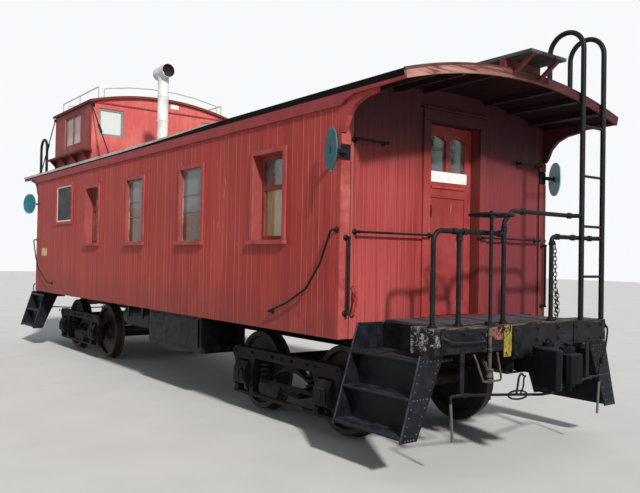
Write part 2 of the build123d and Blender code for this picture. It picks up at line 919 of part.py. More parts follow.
right_rail = pipe(
    (
        (railing_x, gate_right_y, floor_top_z),
        (railing_x, gate_right_y, railing_top_z),
        (railing_x, ladder_outer_y - 60, railing_top_z),
        (ladder_x, ladder_outer_y - 10, railing_top_z),
    ),
    rail_radius,
    50,
)
right_rail += post(
    railing_x, gate_right_y, floor_top_z, floor_top_z + rail_foot_thickness, rail_foot_radius
)
for y in (ladder_inner_y, ladder_outer_y):
    stile_space = post(ladder_x, y, floor_top_z - 10, high_bar_z + 200, ladder_radius + ladder_joint_gap)
    left_rail -= stile_space
    right_rail -= stile_space
rung_z = floor_top_z + ladder_first_rung + ladder_rung_spacing
rung_space = rod(
    (ladder_x, ladder_inner_y, rung_z),
    (ladder_x, ladder_outer_y, rung_z),
    ladder_rung_radius + ladder_joint_gap,
)
save("railings", both_ends([largest(left_rail - rung_space), largest(right_rail - rung_space)]))

# Hand brake: a staff in front of the railing and a level wheel keyed to it
staff_x = railing_x + staff_outset
staff_top_z = floor_top_z + staff_height
wheel_z = floor_top_z + hand_wheel_height
hand_brake = post(staff_x, -staff_y, floor_top_z, staff_top_z, staff_radius)
hand_brake += post(staff_x, -staff_y, floor_top_z, floor_top_z + 30, 42)
hand_brake += block(
    railing_x + rail_radius - 4, staff_x, -staff_y - 14, -staff_y + 14, railing_top_z - 10, railing_top_z + 10
)
hand_brake -= rod(
    (railing_x, 150 - staff_y, railing_top_z), (railing_x, -staff_y - 150, railing_top_z), rail_radius + 0.2
)
hand_brake += Pos(staff_x, -staff_y, wheel_z) * Torus(hand_wheel_radius, hand_wheel_rim_radius)
hand_brake += Pos(staff_x, -staff_y, wheel_z) * Cylinder(32, 44)
for number in range(hand_wheel_spokes):
    angle = radians(360 / hand_wheel_spokes * number + 10)
    hub = (staff_x + 20 * cos(angle), -staff_y + 20 * sin(angle), wheel_z)
    rim = (
        staff_x + hand_wheel_radius * cos(angle),
        -staff_y + hand_wheel_radius * sin(angle),
        wheel_z,
    )
    hand_brake += rod(hub, rim, 8)
save("hand_brakes", both_ends([hand_brake]))

# Couplers with knuckles, placed by the pulling face
face_x = beam_face_x + coupler_reach
tail_x = face_x - 950
shank = block(tail_x, face_x - 320, -coupler_shank_half, coupler_shank_half, shank_low_z, coupler_z + 70)
head_outline = (
    # distance behind the pulling face, y
    (360, -62),
    (300, -128),
    (200, -178),
    (20, -222),
    (0, -186),
    (40, -110),
    (118, -62),
    (158, 4),
    (186, 60),
    (186, 168),
    (250, 172),
    (320, 120),
    (360, 62),
)
head_sketch = make_face(Polyline(*[(face_x - back, y) for back, y in head_outline], close=True))
head_sketch = fillet(head_sketch.vertices(), coupler_corner_radius)
head = extrude(head_sketch, coupler_head_height)
head = Pos(0, 0, coupler_z - coupler_head_height / 2) * chamfer(
    head.edges().group_by(Axis.Z)[0] + head.edges().group_by(Axis.Z)[-1], coupler_head_chamfer
)
draft_gear = block(
    tail_x, tail_x + 160, -sill_web_inner_y, sill_web_inner_y, coupler_z - 75, coupler_z + 75
)
pivot_x = face_x - 145
pivot_y = 118
pin_low_z = coupler_z - coupler_head_height / 2 - 34
pin_high_z = coupler_z + coupler_head_height / 2 + 30
lug_high_z = coupler_z + coupler_head_height / 2
lug_points = [(face_x - 200, 40), (pivot_x + 4, 40), (pivot_x + 46, 84), (pivot_x + 46, 150), (pivot_x, 170), (face_x - 200, 168)]
lug_sketch = make_face(Polyline(*lug_points, close=True))
lug = extrude(fillet(lug_sketch.vertices().group_by(Axis.X)[-1], 24), coupler_lug_thickness)
coupler = shank + head + draft_gear
for z in (lug_high_z - coupler_lug_thickness, 2 * coupler_z - lug_high_z):
    coupler += Pos(0, 0, z) * lug
coupler += post(pivot_x, pivot_y, pin_low_z, pin_high_z, knuckle_pin_radius)
coupler += post(pivot_x, pivot_y, pin_low_z, pin_low_z + 30, knuckle_pin_radius + 8)
coupler += post(pivot_x, pivot_y, pin_high_z - 14, pin_high_z, knuckle_pin_radius + 12)

# Lock lifter on the head, with the eye that the uncoupling lever pulls
lifter_z = lug_high_z
coupler += post(face_x - 250, 0, lifter_z - 10, lifter_z + 34, 48)
coupler += Pos(face_x - 250, 0, lifter_z + 34) * Rot(90, 0, 0) * Torus(24, 7)

# Knuckle: a rounded nose and a tail behind the pin
knuckle_outline = (
    # distance behind the pulling face, y
    (184, 66),
    (154, 8),
    (112, -24),
    (58, -40),
    (14, -26),
    (0, 30),
    (4, 104),
    (48, 150),
    (110, 166),
    (184, 166),
)
knuckle_sketch = make_face(Polyline(*[(face_x - back, y) for back, y in knuckle_outline], close=True))
knuckle_sketch = fillet(knuckle_sketch.vertices(), coupler_corner_radius)
knuckle_low_z = 2 * coupler_z - lug_high_z + coupler_lug_thickness + knuckle_gap
knuckle = Pos(0, 0, knuckle_low_z) * extrude(knuckle_sketch, 2 * (coupler_z - knuckle_low_z))
knuckle -= post(
    pivot_x, pivot_y, pin_low_z - 10, pin_high_z + 10, knuckle_pin_radius + knuckle_clearance
)
save("couplers", both_ends([coupler]))
save("coupler_knuckles", both_ends([knuckle]))

# Uncoupling levers hung from the end beams
lever_x = beam_face_x + 34
lever_y = beam_half_width - lever_end_inset
lever_z = beam_bottom_z - 307
half_lever = [
    (lever_x, lever_y, lever_z - 340),
    (lever_x, lever_y + 30, lever_z),
    (lever_x, lever_y - 105, lever_z),
    (lever_x + 55, 300, lever_z - 40),
    (lever_x + 135, 60, lever_z - 50),
]
lever = pipe(half_lever + [(x, -y, z) for x, y, z in reversed(half_lever)], lever_radius, 18)
hanger_y = lever_y - 125
for y in (-hanger_y, hanger_y):
    lever += block(beam_face_x, beam_face_x + 12, y - 22, y + 22, lever_z - 15, beam_bottom_z + 60)
    lever += block(beam_face_x, beam_face_x + 45, y - 22, y + 22, lever_z - 20, lever_z + 10)
save("uncoupling_levers", both_ends([lever]))

# Marker targets at the four corners on their brackets
marker_x = body_end + marker_standoff
marker_places = (
    # end, side, distance from the centre line, turn of the face from +X
    (1, -1, body_side + 128.5, 68),
    (1, 1, body_side + 113.5, 55),
    (-1, -1, body_side + 128.5, 110),
    (-1, 1, body_side + 113.5, 71),
)
discs = []
marker_brackets = []
for end, side, y, turn in marker_places:
    place = Pos(end * marker_x, side * y, marker_z)
    arm_x0 = end * (body_end + 12)
    arm_x1 = end * (body_end + 50)
    arm_y0 = side * (body_side - 41.5)
    gap = marker_clearance
    holder = block(arm_x0, arm_x1, arm_y0, side * (y - 8), marker_z - 16, marker_z + 16)
    holder += block(
        end * body_end,
        arm_x0,
        side * (body_side - 101.5),
        side * (body_side - 1.5),
        marker_z - 60,
        marker_z + 60,
    )
    holder += place * Cylinder(16, 60)
    disc = place * Rot(0, 0, turn) * Rot(0, 90, 0) * Cylinder(marker_radius, marker_thickness)
    disc -= place * Cylinder(16 + gap, 60 + 2 * gap)
    disc -= block(
        arm_x0 - end * gap,
        arm_x1 + end * gap,
        arm_y0,
        side * (y - 8 + gap),
        marker_z - 16 - gap,
        marker_z + 16 + gap,
    )
    discs.append(largest(disc))
    marker_brackets.append(holder)
save("marker_discs", discs)
save("marker_brackets", marker_brackets)

# Hand irons: on both ends two level ones and an upright one, on the sides a sloping one by the steps
iron_x = body_end + iron_standoff
iron_side_y = body_side + iron_standoff
level_irons = (
    # height above the floor, inner y, outer y
    (740, door_half_opening + 15, body_side - 166.5),
    (1508, door_half_opening + 575, body_side - 146.5),
)
irons = []
for height, inner_y, outer_y in level_irons:
    z = floor_top_z + height
    line = ((body_end, -outer_y, z), (iron_x, -outer_y, z), (iron_x, -inner_y, z), (body_end, -inner_y, z))
    irons += both_sides([pipe(line, iron_radius, iron_bend)])
upright_y = body_side - 61.5
upright_low = floor_top_z + 65
upright_high = floor_top_z + 688
line = (
    (body_end, -upright_y, upright_high),
    (iron_x, -upright_y, upright_high),
    (iron_x, -upright_y, upright_low),
    (body_end, -upright_y, upright_low),
)
irons += both_sides([pipe(line, iron_radius + 2, iron_bend)])
slope = (
    # distance from the body end, height above the floor
    (25, 753),
    (175, 463),
    (365, 253),
    (650, 115),
    (960, 18),
)
line = [(body_end - slope[0][0], -body_side, floor_top_z + slope[0][1])]
line += [(body_end - back, -iron_side_y, floor_top_z + height) for back, height in slope]
line += [(body_end - slope[-1][0], -body_side, floor_top_z + slope[-1][1])]
irons += both_sides([pipe(line, iron_radius, iron_bend)])
irons = both_ends(irons)

# Low rails on the cupola roof: one along each edge and one bowed over each end
rail_y = cupola_roof_half_width - roof_rail_inset
rail_z = cupola_roof_height(rail_y) + roof_rail_height
rail_x0 = cupola_far_x + 40
rail_x1 = cupola_near_x - 40
side_rail = pipe(
    (
        (rail_x0, -rail_y, cupola_roof_height(rail_y)),
        (rail_x0, -rail_y, rail_z),
        (rail_x1, -rail_y, rail_z),
        (rail_x1, -rail_y, cupola_roof_height(rail_y)),
    ),
    iron_radius,
    iron_bend,
)
side_rail += post(
    (rail_x0 + rail_x1) / 2, -rail_y, cupola_roof_height(rail_y) - 5, rail_z, iron_radius
)
bow_y = rail_y - 90
bow_z = cupola_roof_height(bow_y)
bow = []
for share in (-1, -0.6, -0.2, 0.2, 0.6, 1):
    bow.append((rail_x1, bow_y * share, cupola_roof_height(bow_y * share) + roof_rail_height - 40))
end_rail = pipe(
    [(rail_x1, -bow_y, bow_z - 2)] + bow + [(rail_x1, bow_y, bow_z - 2)], iron_radius, iron_bend
)
far_rail = Pos(rail_x0 - rail_x1, 0, 0) * end_rail
below_cupola_top = prism_x(
    arch_points(cupola_roof_half_width, cupola_eave_z, cupola_rise, 0, cupola_facets),
    cupola_far_x - cupola_roof_overhang,
    cupola_near_x + cupola_roof_overhang,
)
cupola_rails = both_sides([side_rail]) + [end_rail, far_rail]
save("hand_irons", irons + [largest(rail - below_cupola_top) for rail in cupola_rails])

# Tool box under the floor, a closed box with a drop front
box_x1 = wheel_edge_x - box_truck_gap
box_front_y = body_side - box_side_inset
box_top_z = floor_bottom_z - side_sill_depth
tool_box = block(box_x0, box_x1, -box_front_y, box_depth_y - box_front_y, box_bottom_z, box_top_z)
tool_box += block(
    box_x0 + 60,
    box_x1 - 60,
    -box_front_y - box_front_thickness,
    -box_front_y,
    box_bottom_z + 60,
    box_top_z - 62,
)
save("tool_box", tool_box)

# Air reservoir hung in straps from the floor
tank_y = -(side_sill_inner_y - tank_sill_gap - tank_radius)
tank = Pos(tank_x, tank_y, tank_z) * Rot(0, 90, 0) * Cylinder(tank_radius, tank_length)
tank = fillet(tank.edges().filter_by(GeomType.CIRCLE), 45)
for x in (tank_x - tank_length / 4, tank_x + tank_length / 4):
    x0 = x - tank_strap_width / 2
    x1 = x + tank_strap_width / 2
    outer = tank_radius + 10
    inner = tank_radius - 1
    strap = block(x0, x1, tank_y - outer, tank_y + outer, tank_z, floor_bottom_z)
    strap -= block(x0 - 10, x1 + 10, tank_y - inner, tank_y + inner, tank_z - 10, floor_bottom_z - 8)
    tank += strap
save("air_reservoir", tank)

# Door hinges: fixed leaves with pins on the walls, moving leaves on the doors
pin_x = wall_inner_x - hinge_offset
pin_y = door_half_opening
third = hinge_length / 3
hinge_low = floor_top_z + hinge_end_margin
hinge_high = door_head_z - hinge_end_margin + 3
fixed_leaves = []
moving_leaves = []
for z in (hinge_low, (hinge_low + hinge_high) / 2, hinge_high):
    leaf = block(wall_inner_x - 4, wall_inner_x, pin_y + 2, pin_y + 45, z - third * 1.5, z + third * 1.5)
    for low in (z - third * 1.5, z + third / 2):
        leaf += post(pin_x, pin_y, low, low + third, hinge_offset)
        leaf += block(pin_x, wall_inner_x, pin_y, pin_y + 12, low, low + third)
    leaf += post(pin_x, pin_y, z - third * 1.5, z + third * 1.5, hinge_pin_radius)
    leaf -= block(wall_inner_x, wall_inner_x + 20, pin_y - 20, pin_y + 60, z - 80, z + 80)
    knuckle_space = post(pin_x, pin_y, z - third / 2, z + third / 2, hinge_offset + 1)
    leaf -= knuckle_space - post(pin_x, pin_y, z - third / 2, z + third / 2, hinge_pin_radius)
    fixed_leaves.append(leaf)
    low = z - third / 2 + 1
    high = z + third / 2 - 1
    moving = block(wall_inner_x - 4, wall_inner_x, pin_y - 60, pin_y - 14, low - 20, high + 20)
    moving += block(wall_inner_x - 4, wall_inner_x - 1, pin_y - 16, pin_y - 4, low, high)
    moving += post(pin_x, pin_y, low, high, hinge_offset - 0.6)
    moving -= post(
        pin_x, pin_y, z - hinge_length / 2, z + hinge_length / 2, hinge_pin_radius + hinge_clearance
    )
    moving_leaves.append(moving)
save("hinge_leaves", both_ends(fixed_leaves))

# End doors with two arched lights each and a sunk panel on both faces
door_outer_x = wall_inner_x + door_thickness
door_half = door_half_opening - door_gap
door_y0 = -door_half - 2
door_y1 = door_half - 2
door = block(wall_inner_x, door_outer_x, door_y0, door_y1, floor_top_z + door_gap, door_head_z - door_gap)
light_top_z = door_head_z - door_light_top_margin
light_low_z = light_top_z - door_light_height
half_light = door_light_width / 2
arch_radius = (half_light**2 + door_light_arch**2) / (2 * door_light_arch)
arch_half_angle = asin(half_light / arch_radius)
pane_x = wall_inner_x + door_thickness / 2
door_panes = []
for side in (1, -1):
    centre = side * door_light_centre_y - 2
    outline = [(centre - half_light, light_low_z), (centre + half_light, light_low_z)]
    for step in range(9):
        angle = arch_half_angle * (1 - step / 4)
        outline.append(
            (centre + arch_radius * sin(angle), light_top_z - arch_radius + arch_radius * cos(angle))
        )
    door -= prism_x(outline, wall_inner_x - 1, door_outer_x + 1)
    door_panes.append(prism_x(outline, pane_x, pane_x + glass_thickness))
panel_low_z = floor_top_z + 133
for face, depth in ((door_outer_x, -door_panel_depth), (wall_inner_x, door_panel_depth)):
    door -= block(
        face,
        face + depth,
        door_y0 + door_panel_margin,
        door_y1 - door_panel_margin,
        panel_low_z,
        panel_low_z + door_panel_height,
    )
pull_y = door_y0 + 66
pull_low = floor_top_z + door_pull_height
pull_high = pull_low + door_pull_length
door_pull = pipe(
    (
        (door_outer_x, pull_y, pull_low),
        (door_outer_x + 45, pull_y, pull_low),
        (door_outer_x + 45, pull_y, pull_high),
        (door_outer_x, pull_y, pull_high),
    ),
    7,
    15,
)
knob_z = (pull_low + pull_high) / 2
door_knob = Pos(wall_inner_x - 20, pull_y, knob_z) * Rot(0, 90, 0) * Cylinder(9, 40)
door_knob += Pos(wall_inner_x - 52, pull_y, knob_z) * Rot(0, 90, 0) * Cylinder(26, 24)
hardware = moving_leaves + [door_pull, door_knob]
for name, place in (("front", lambda shape: shape), ("rear", turned)):
    save(name + "_door", place(door))
    save(name + "_door_glass", [place(pane) for pane in door_panes])
    save(name + "_door_hardware", [place(piece) for piece in hardware])

# Curtain inside the window nearest the front, a plain soft solid
curtain_x = window_centres_x[0]
curtain_y = -wall_inner_y + curtain_gap
curtain = block(
    curtain_x - window_width / 2 - 10,
    curtain_x + window_width / 2 + 10,
    curtain_y,
    curtain_y + curtain_thickness,
    window_sill_z - 30,
    meeting_rail_z + 20,
)
save("curtain", curtain)

# Wheelsets: one axle and two dished wheels each, turned about the axle line
wheel_outer_y = wheel_inner_y + wheel_width
wheel_bore = wheel_seat_radius + 0.1
wheel_profile = [
    (wheel_inner_y, flange_radius - 8),
    (wheel_inner_y + 8, flange_radius),
    (wheel_inner_y + 20, flange_radius - 4),
    (wheel_inner_y + flange_width, wheel_radius + 3),
    (wheel_outer_y - 6, wheel_radius - 4),
    (wheel_outer_y, wheel_radius - 10),
    (wheel_outer_y, wheel_radius - rim_depth),
    (wheel_outer_y - 45, wheel_radius - rim_depth - 12),
    (wheel_outer_y - 50, wheel_seat_radius + 58),
    (wheel_outer_y + 10, wheel_seat_radius + 46),
    (wheel_outer_y + 10, wheel_bore),
    (wheel_inner_y - 10, wheel_bore),
    (wheel_inner_y - 10, wheel_seat_radius + 46),
    (wheel_outer_y - 80, wheel_seat_radius + 68),
    (wheel_outer_y - 74, wheel_radius - rim_depth - 22),
    (wheel_inner_y, wheel_radius - rim_depth - 4),
]
seat_end = wheel_outer_y + 25
half_axle = [
    (axle_radius, wheel_inner_y - 42),
    (wheel_seat_radius, wheel_inner_y - 22),
    (wheel_seat_radius, seat_end),
    (journal_radius, seat_end + 22),
    (journal_radius, journal_end_y),
    (0, journal_end_y),
]
axle_profile = [(y, r) for r, y in half_axle] + [(-y, r) for r, y in reversed(half_axle)]
wheel_shape = turned_about_y(wheel_profile)
axle_shape = turned_about_y(axle_profile)
axle_places = (
    truck_centre_x + half_base,
    truck_centre_x - half_base,
    half_base - truck_centre_x,
    -half_base - truck_centre_x,
)
for number, x in enumerate(axle_places, 1):
    place = Pos(x, 0, axle_z)
    save("axle_%d" % number, place * axle_shape)
    save("wheels_%d" % number, [place * shape for shape in both_sides([wheel_shape])])

# Truck frame: wheel pieces, transoms, pedestals with flared feet, and tie bars, round a centre at X = 0
side_inner_y = side_frame_y - side_frame_width / 2
side_outer_y = side_frame_y + side_frame_width / 2
frame_low_z = side_frame_low_z
frame_high_z = side_frame_low_z + side_frame_depth
half_frame = half_base + side_frame_overhang
half_pedestal = [
    (jaw_half, frame_low_z - 28),
    (jaw_half, pedestal_foot_z),
    (jaw_half + 95, pedestal_foot_z),
    (jaw_half + 72, pedestal_foot_z + 18),
    (jaw_half + 62, pedestal_foot_z + 45),
    (jaw_half + 58, pedestal_foot_z + 90),
    (jaw_half + 66, frame_low_z - 90),
    (jaw_half + 82, frame_low_z - 40),
    (jaw_half + 110, frame_low_z),
]
pedestal_outline = half_pedestal + [(-x, z) for x, z in reversed(half_pedestal)]
truck_frame = block(
    -transom_inner_x - transom_width,
    -transom_inner_x,
    -side_inner_y,
    side_inner_y,
    frame_low_z,
    frame_low_z + transom_depth,
)
truck_frame += mirror(truck_frame, about=Plane.YZ)
wheel_piece = [
    (-half_frame, frame_low_z),
    (half_frame, frame_low_z),
    (half_frame, frame_high_z - 30),
    (half_frame - 60, frame_high_z),
    (60 - half_frame, frame_high_z),
    (-half_frame, frame_high_z - 30),
]
pedestal_inner_y = side_frame_y - pedestal_width / 2
pedestal_outer_y = side_frame_y + pedestal_width / 2
for side in (1, -1):
    truck_frame += prism_y(wheel_piece, side * side_inner_y, side * side_outer_y)
    for x in (-half_base, half_base):
        outline = [(x + px, pz) for px, pz in pedestal_outline]
        truck_frame += prism_y(outline, side * pedestal_inner_y, side * pedestal_outer_y)
    truck_frame += block(
        -half_base - jaw_half - 95,
        half_base + jaw_half + 95,
        side * (pedestal_inner_y + 4),
        side * (pedestal_outer_y - 4),
        pedestal_foot_z - tie_bar_thickness,
        pedestal_foot_z,
    )

# Journal boxes with slanted lids, each bored for its journal
box_half = jaw_half - box_slack
box_inner_y = side_frame_y - 95
box_high_z = axle_z + box_above_axle
box_low_z = axle_z - box_below_axle
boxes = []
for x in (-half_base, half_base):
    for side in (1, -1):
        outline = [
            (side * box_inner_y, box_high_z),
            (side * (side_frame_y + 60), box_high_z),
            (side * (side_frame_y + 105), axle_z + 20),
            (side * (side_frame_y + 105), box_low_z + 30),
            (side * (side_frame_y + 75), box_low_z),
            (side * box_inner_y, box_low_z),
        ]
        journal_box = prism_x(outline, x - box_half, x + box_half)
        bore = Cylinder(
            journal_radius + journal_clearance,
            journal_end_y + 18 - box_inner_y,
            align=(Align.CENTER, Align.CENTER, Align.MIN),
        )
        journal_box -= Pos(x, side * (box_inner_y - 10), axle_z) * Rot(-90 * side, 0, 0) * bore
        boxes.append(journal_box)

# Equalizers: bent bars from box to box, inside the pedestals, that carry the coil springs
half_equalizer_top = [
    (half_base + 60, box_high_z),
    (half_base + 60, box_high_z + 28),
    (half_base - 145, box_high_z + 28),
    (half_base - 163, box_high_z + 14),
    (half_base - 229, equalizer_spring_z + 14),
    (half_base - 243, equalizer_spring_z),
]
half_equalizer_low = [
    (half_base - 125, box_high_z),
    (half_base - 203, equalizer_spring_z - equalizer_depth + 14),
    (half_base - 228, equalizer_spring_z - equalizer_depth),
]
equalizer_outline = half_equalizer_top + [(-x, z) for x, z in reversed(half_equalizer_top)]
equalizer_outline += [(-x, z) for x, z in half_equalizer_low] + half_equalizer_low[::-1]
equalizer_outer_y = pedestal_inner_y - equalizer_gap
equalizers = both_sides(
    [prism_y(equalizer_outline, -equalizer_outer_y, equalizer_thickness - equalizer_outer_y)]
)

# Coil springs between a seat on the equalizer and a cap under the frame
spring_height = frame_low_z - equalizer_spring_z
coil_rise = spring_height - 2 * (coil_seat_thickness + coil_gap + coil_wire_radius)
coil_path = Helix(coil_pitch, coil_rise, coil_radius - coil_wire_radius)
coil_section = Plane(origin=coil_path @ 0, z_dir=coil_path % 0) * Circle(coil_wire_radius)
coil_foot_z = equalizer_spring_z + coil_seat_thickness + coil_gap + coil_wire_radius
coil = Pos(0, 0, coil_foot_z) * sweep(coil_section, path=coil_path, is_frenet=True)
coil_seat = post(0, 0, equalizer_spring_z, equalizer_spring_z + coil_seat_thickness, coil_radius)
coil_cap = post(0, 0, frame_low_z - coil_seat_thickness, frame_low_z, coil_radius)
springs = []
for x in (-coil_spring_x, coil_spring_x):
    for y in (-coil_spring_y, coil_spring_y):
        springs += [Pos(x, y, 0) * piece for piece in (coil, coil_seat, coil_cap)]

# Full-elliptic leaf springs between the spring plank and the bolster ends
leaf_mid_z = (plank_top_z + bolster_bottom_z) / 2
leaf_steps = 12
leaf_shares = (1.0, 0.83, 0.66, 0.5)
leaf_crown = (bolster_bottom_z - plank_top_z) / 2 - leaf_thickness * len(leaf_shares)


def leaf_height(x):
    """Rise of the innermost leaf above the middle of the spring."""
    return leaf_crown * (1 - (x / leaf_half_length) ** 2)


leaf_outer_y = leaf_inner_y + leaf_width
half_spring = None
for number, share in enumerate(leaf_shares):
    count = round(leaf_steps / 2 * share)
    xs = [leaf_half_length * 2 * step / leaf_steps for step in range(-count, count + 1)]
    low = [(x, leaf_mid_z + leaf_height(x) + number * leaf_thickness) for x in xs]
    high = [(x, leaf_mid_z + leaf_height(x) + (number + 1) * leaf_thickness) for x in xs]
    leaf = prism_y(low + high[::-1], leaf_inner_y, leaf_outer_y)
    half_spring = leaf if half_spring is None else half_spring + leaf
half_spring += block(
    -leaf_band_half, leaf_band_half, leaf_inner_y, leaf_outer_y, leaf_mid_z + leaf_crown - 8, bolster_bottom_z
)
middle_plane = Plane.XY.offset(leaf_mid_z)
elliptic = half_spring + mirror(half_spring, about=middle_plane)
for x in (-leaf_half_length, leaf_half_length):
    eye = Rot(90, 0, 0) * Cylinder(leaf_thickness, leaf_width)
    elliptic += Pos(x, (leaf_inner_y + leaf_outer_y) / 2, leaf_mid_z) * eye
springs += both_sides([elliptic])

# Bolster with its centre plate, and the spring plank hung below the transoms
bolster_top_z = bolster_bottom_z + bolster_depth
bolster_outline = [
    (-bolster_half_length, bolster_bottom_z),
    (bolster_half_length, bolster_bottom_z),
    (bolster_half_length, bolster_bottom_z + bolster_end_depth),
    (320, bolster_top_z),
    (-320, bolster_top_z),
    (-bolster_half_length, bolster_bottom_z + bolster_end_depth),
]
bolster = prism_x(bolster_outline, -bolster_half_width, bolster_half_width)
bolster += post(0, 0, bolster_top_z, centre_plate_z - centre_plate_gap, centre_plate_radius)
bolster -= post(0, 0, bolster_bottom_z - 10, centre_plate_z + 10, king_pin_radius + king_pin_clearance)
plank_low_z = plank_top_z - plank_thickness
plank = block(
    -bolster_half_width,
    bolster_half_width,
    -bolster_half_length,
    bolster_half_length,
    plank_low_z,
    plank_top_z,
)
for y in (-560, 500):
    for x0, x1 in ((bolster_half_width, transom_inner_x), (-transom_inner_x, -bolster_half_width)):
        plank += block(x0, x1, y, y + hanger_width, plank_low_z, frame_low_z + 50)

truck_nodes = (
    ("frame", [truck_frame]),
    ("journal_boxes", boxes),
    ("equalizers", equalizers),
    ("springs", springs),
    ("bolster", [bolster, plank]),
)
for name, shapes in truck_nodes:
    save("front_truck_" + name, [Pos(truck_centre_x, 0, 0) * shape for shape in shapes])
    save("rear_truck_" + name, [turned(Pos(truck_centre_x, 0, 0) * shape) for shape in shapes])
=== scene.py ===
# Looks of the wooden cupola caboose: materials, trim, fittings, light and camera. Metres.
from functools import partialmethod
from math import cos, pi, radians, sin, tau

import bmesh
import bpy
from mathutils import Matrix, Vector


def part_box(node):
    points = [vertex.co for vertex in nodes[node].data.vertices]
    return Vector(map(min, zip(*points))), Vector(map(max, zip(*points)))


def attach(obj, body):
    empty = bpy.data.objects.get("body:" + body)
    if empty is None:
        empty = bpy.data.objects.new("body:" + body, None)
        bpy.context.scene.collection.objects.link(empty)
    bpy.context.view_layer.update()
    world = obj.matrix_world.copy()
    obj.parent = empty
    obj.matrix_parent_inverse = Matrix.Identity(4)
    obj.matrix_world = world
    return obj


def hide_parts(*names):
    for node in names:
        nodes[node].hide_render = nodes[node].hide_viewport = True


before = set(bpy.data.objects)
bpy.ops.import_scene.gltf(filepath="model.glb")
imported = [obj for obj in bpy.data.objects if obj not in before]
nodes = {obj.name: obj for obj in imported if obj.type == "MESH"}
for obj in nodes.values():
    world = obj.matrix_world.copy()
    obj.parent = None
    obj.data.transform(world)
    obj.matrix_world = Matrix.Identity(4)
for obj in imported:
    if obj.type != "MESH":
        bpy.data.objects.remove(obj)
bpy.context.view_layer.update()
scene = bpy.context.scene

# Main places: the frame's own boxes where they tell, else sizes of the CAD pieces
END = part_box("end_walls")[1].x
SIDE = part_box("side_walls")[1].y
BEAM_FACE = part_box("end_beams")[1].x
CUPOLA_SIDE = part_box("cupola_walls")[1].y
CUPOLA_REAR, CUPOLA_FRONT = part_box("cupola_walls")[0].x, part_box("cupola_walls")[1].x
CUPOLA_Z = 3.3  # everything on the cupola is above this
CUPOLA_IN = 1.12  # and its end panes and sashes are within this of the middle
WALL_DEPTH = 0.139
ROOF_TOP, ROOF_CURVE = 3.275, 0.109  # roof height in the middle, and its fall per y squared
JACK_X, JACK_Y, JACK_RADIUS = -0.84, -0.60, 0.0785
JACK_HEAD_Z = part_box("smoke_jack")[1].z - 0.098
DISC_Z, DISC_HALF = 2.54, 0.176
WINDOW_X, WINDOW_HALF, WINDOW_LOW, WINDOW_TOP = (1.677, 0.084), 0.2595, 1.8255, 2.6385
RAIL_X, RAIL_Z, HIGH_RAIL_Z = 5.110, 1.893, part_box("railings")[1].z - 0.020
POSTS = (-1.050, -0.762, -0.220, 0.430)
STAFF_X, STAFF_Y = 5.237, -0.53
STEP_X = 5.139  # outer edge of the treads
TREADS = (0.364, 0.637, 0.910)
TRUCKS = (("front_truck", 3.034), ("rear_truck", -3.034))
HALF_WHEELBASE, TRUCK_FACE = 0.725, 1.026
ENDS = (1, -1)  # 1 for the front end, -1 for its half turn at the rear
SIDES = (1, -1)
CORNERS = [(turn, side) for turn in ENDS for side in SIDES]
ALONG_Y, UPRIGHT = (0, 1, 0), (0, 0, 1)


def rgb(r, g, b):
    """A colour given as sRGB bytes, in the linear values that shaders take."""
    out = []
    for v in (r, g, b):
        v = v / 255
        out.append(v / 12.92 if v <= 0.04045 else ((v + 0.055) / 1.055) ** 2.4)
    return (*out, 1.0)


def operator(operation, swapped=False):
    """An operator of Value that makes a math node."""
    return lambda a, b=0.0: a.shader.calc(operation, *((b, a) if swapped else (a, b)))


class Value:
    """A node's output, with operators so that sums of nodes read as arithmetic."""

    def __init__(self, shader, socket):
        self.shader, self.socket = shader, socket

    __add__, __mul__, __truediv__ = operator("ADD"), operator("MULTIPLY"), operator("DIVIDE")
    __sub__, __rsub__ = operator("SUBTRACT"), operator("SUBTRACT", True)
    __gt__, __lt__, __abs__ = operator("GREATER_THAN"), operator("LESS_THAN"), operator("ABSOLUTE")


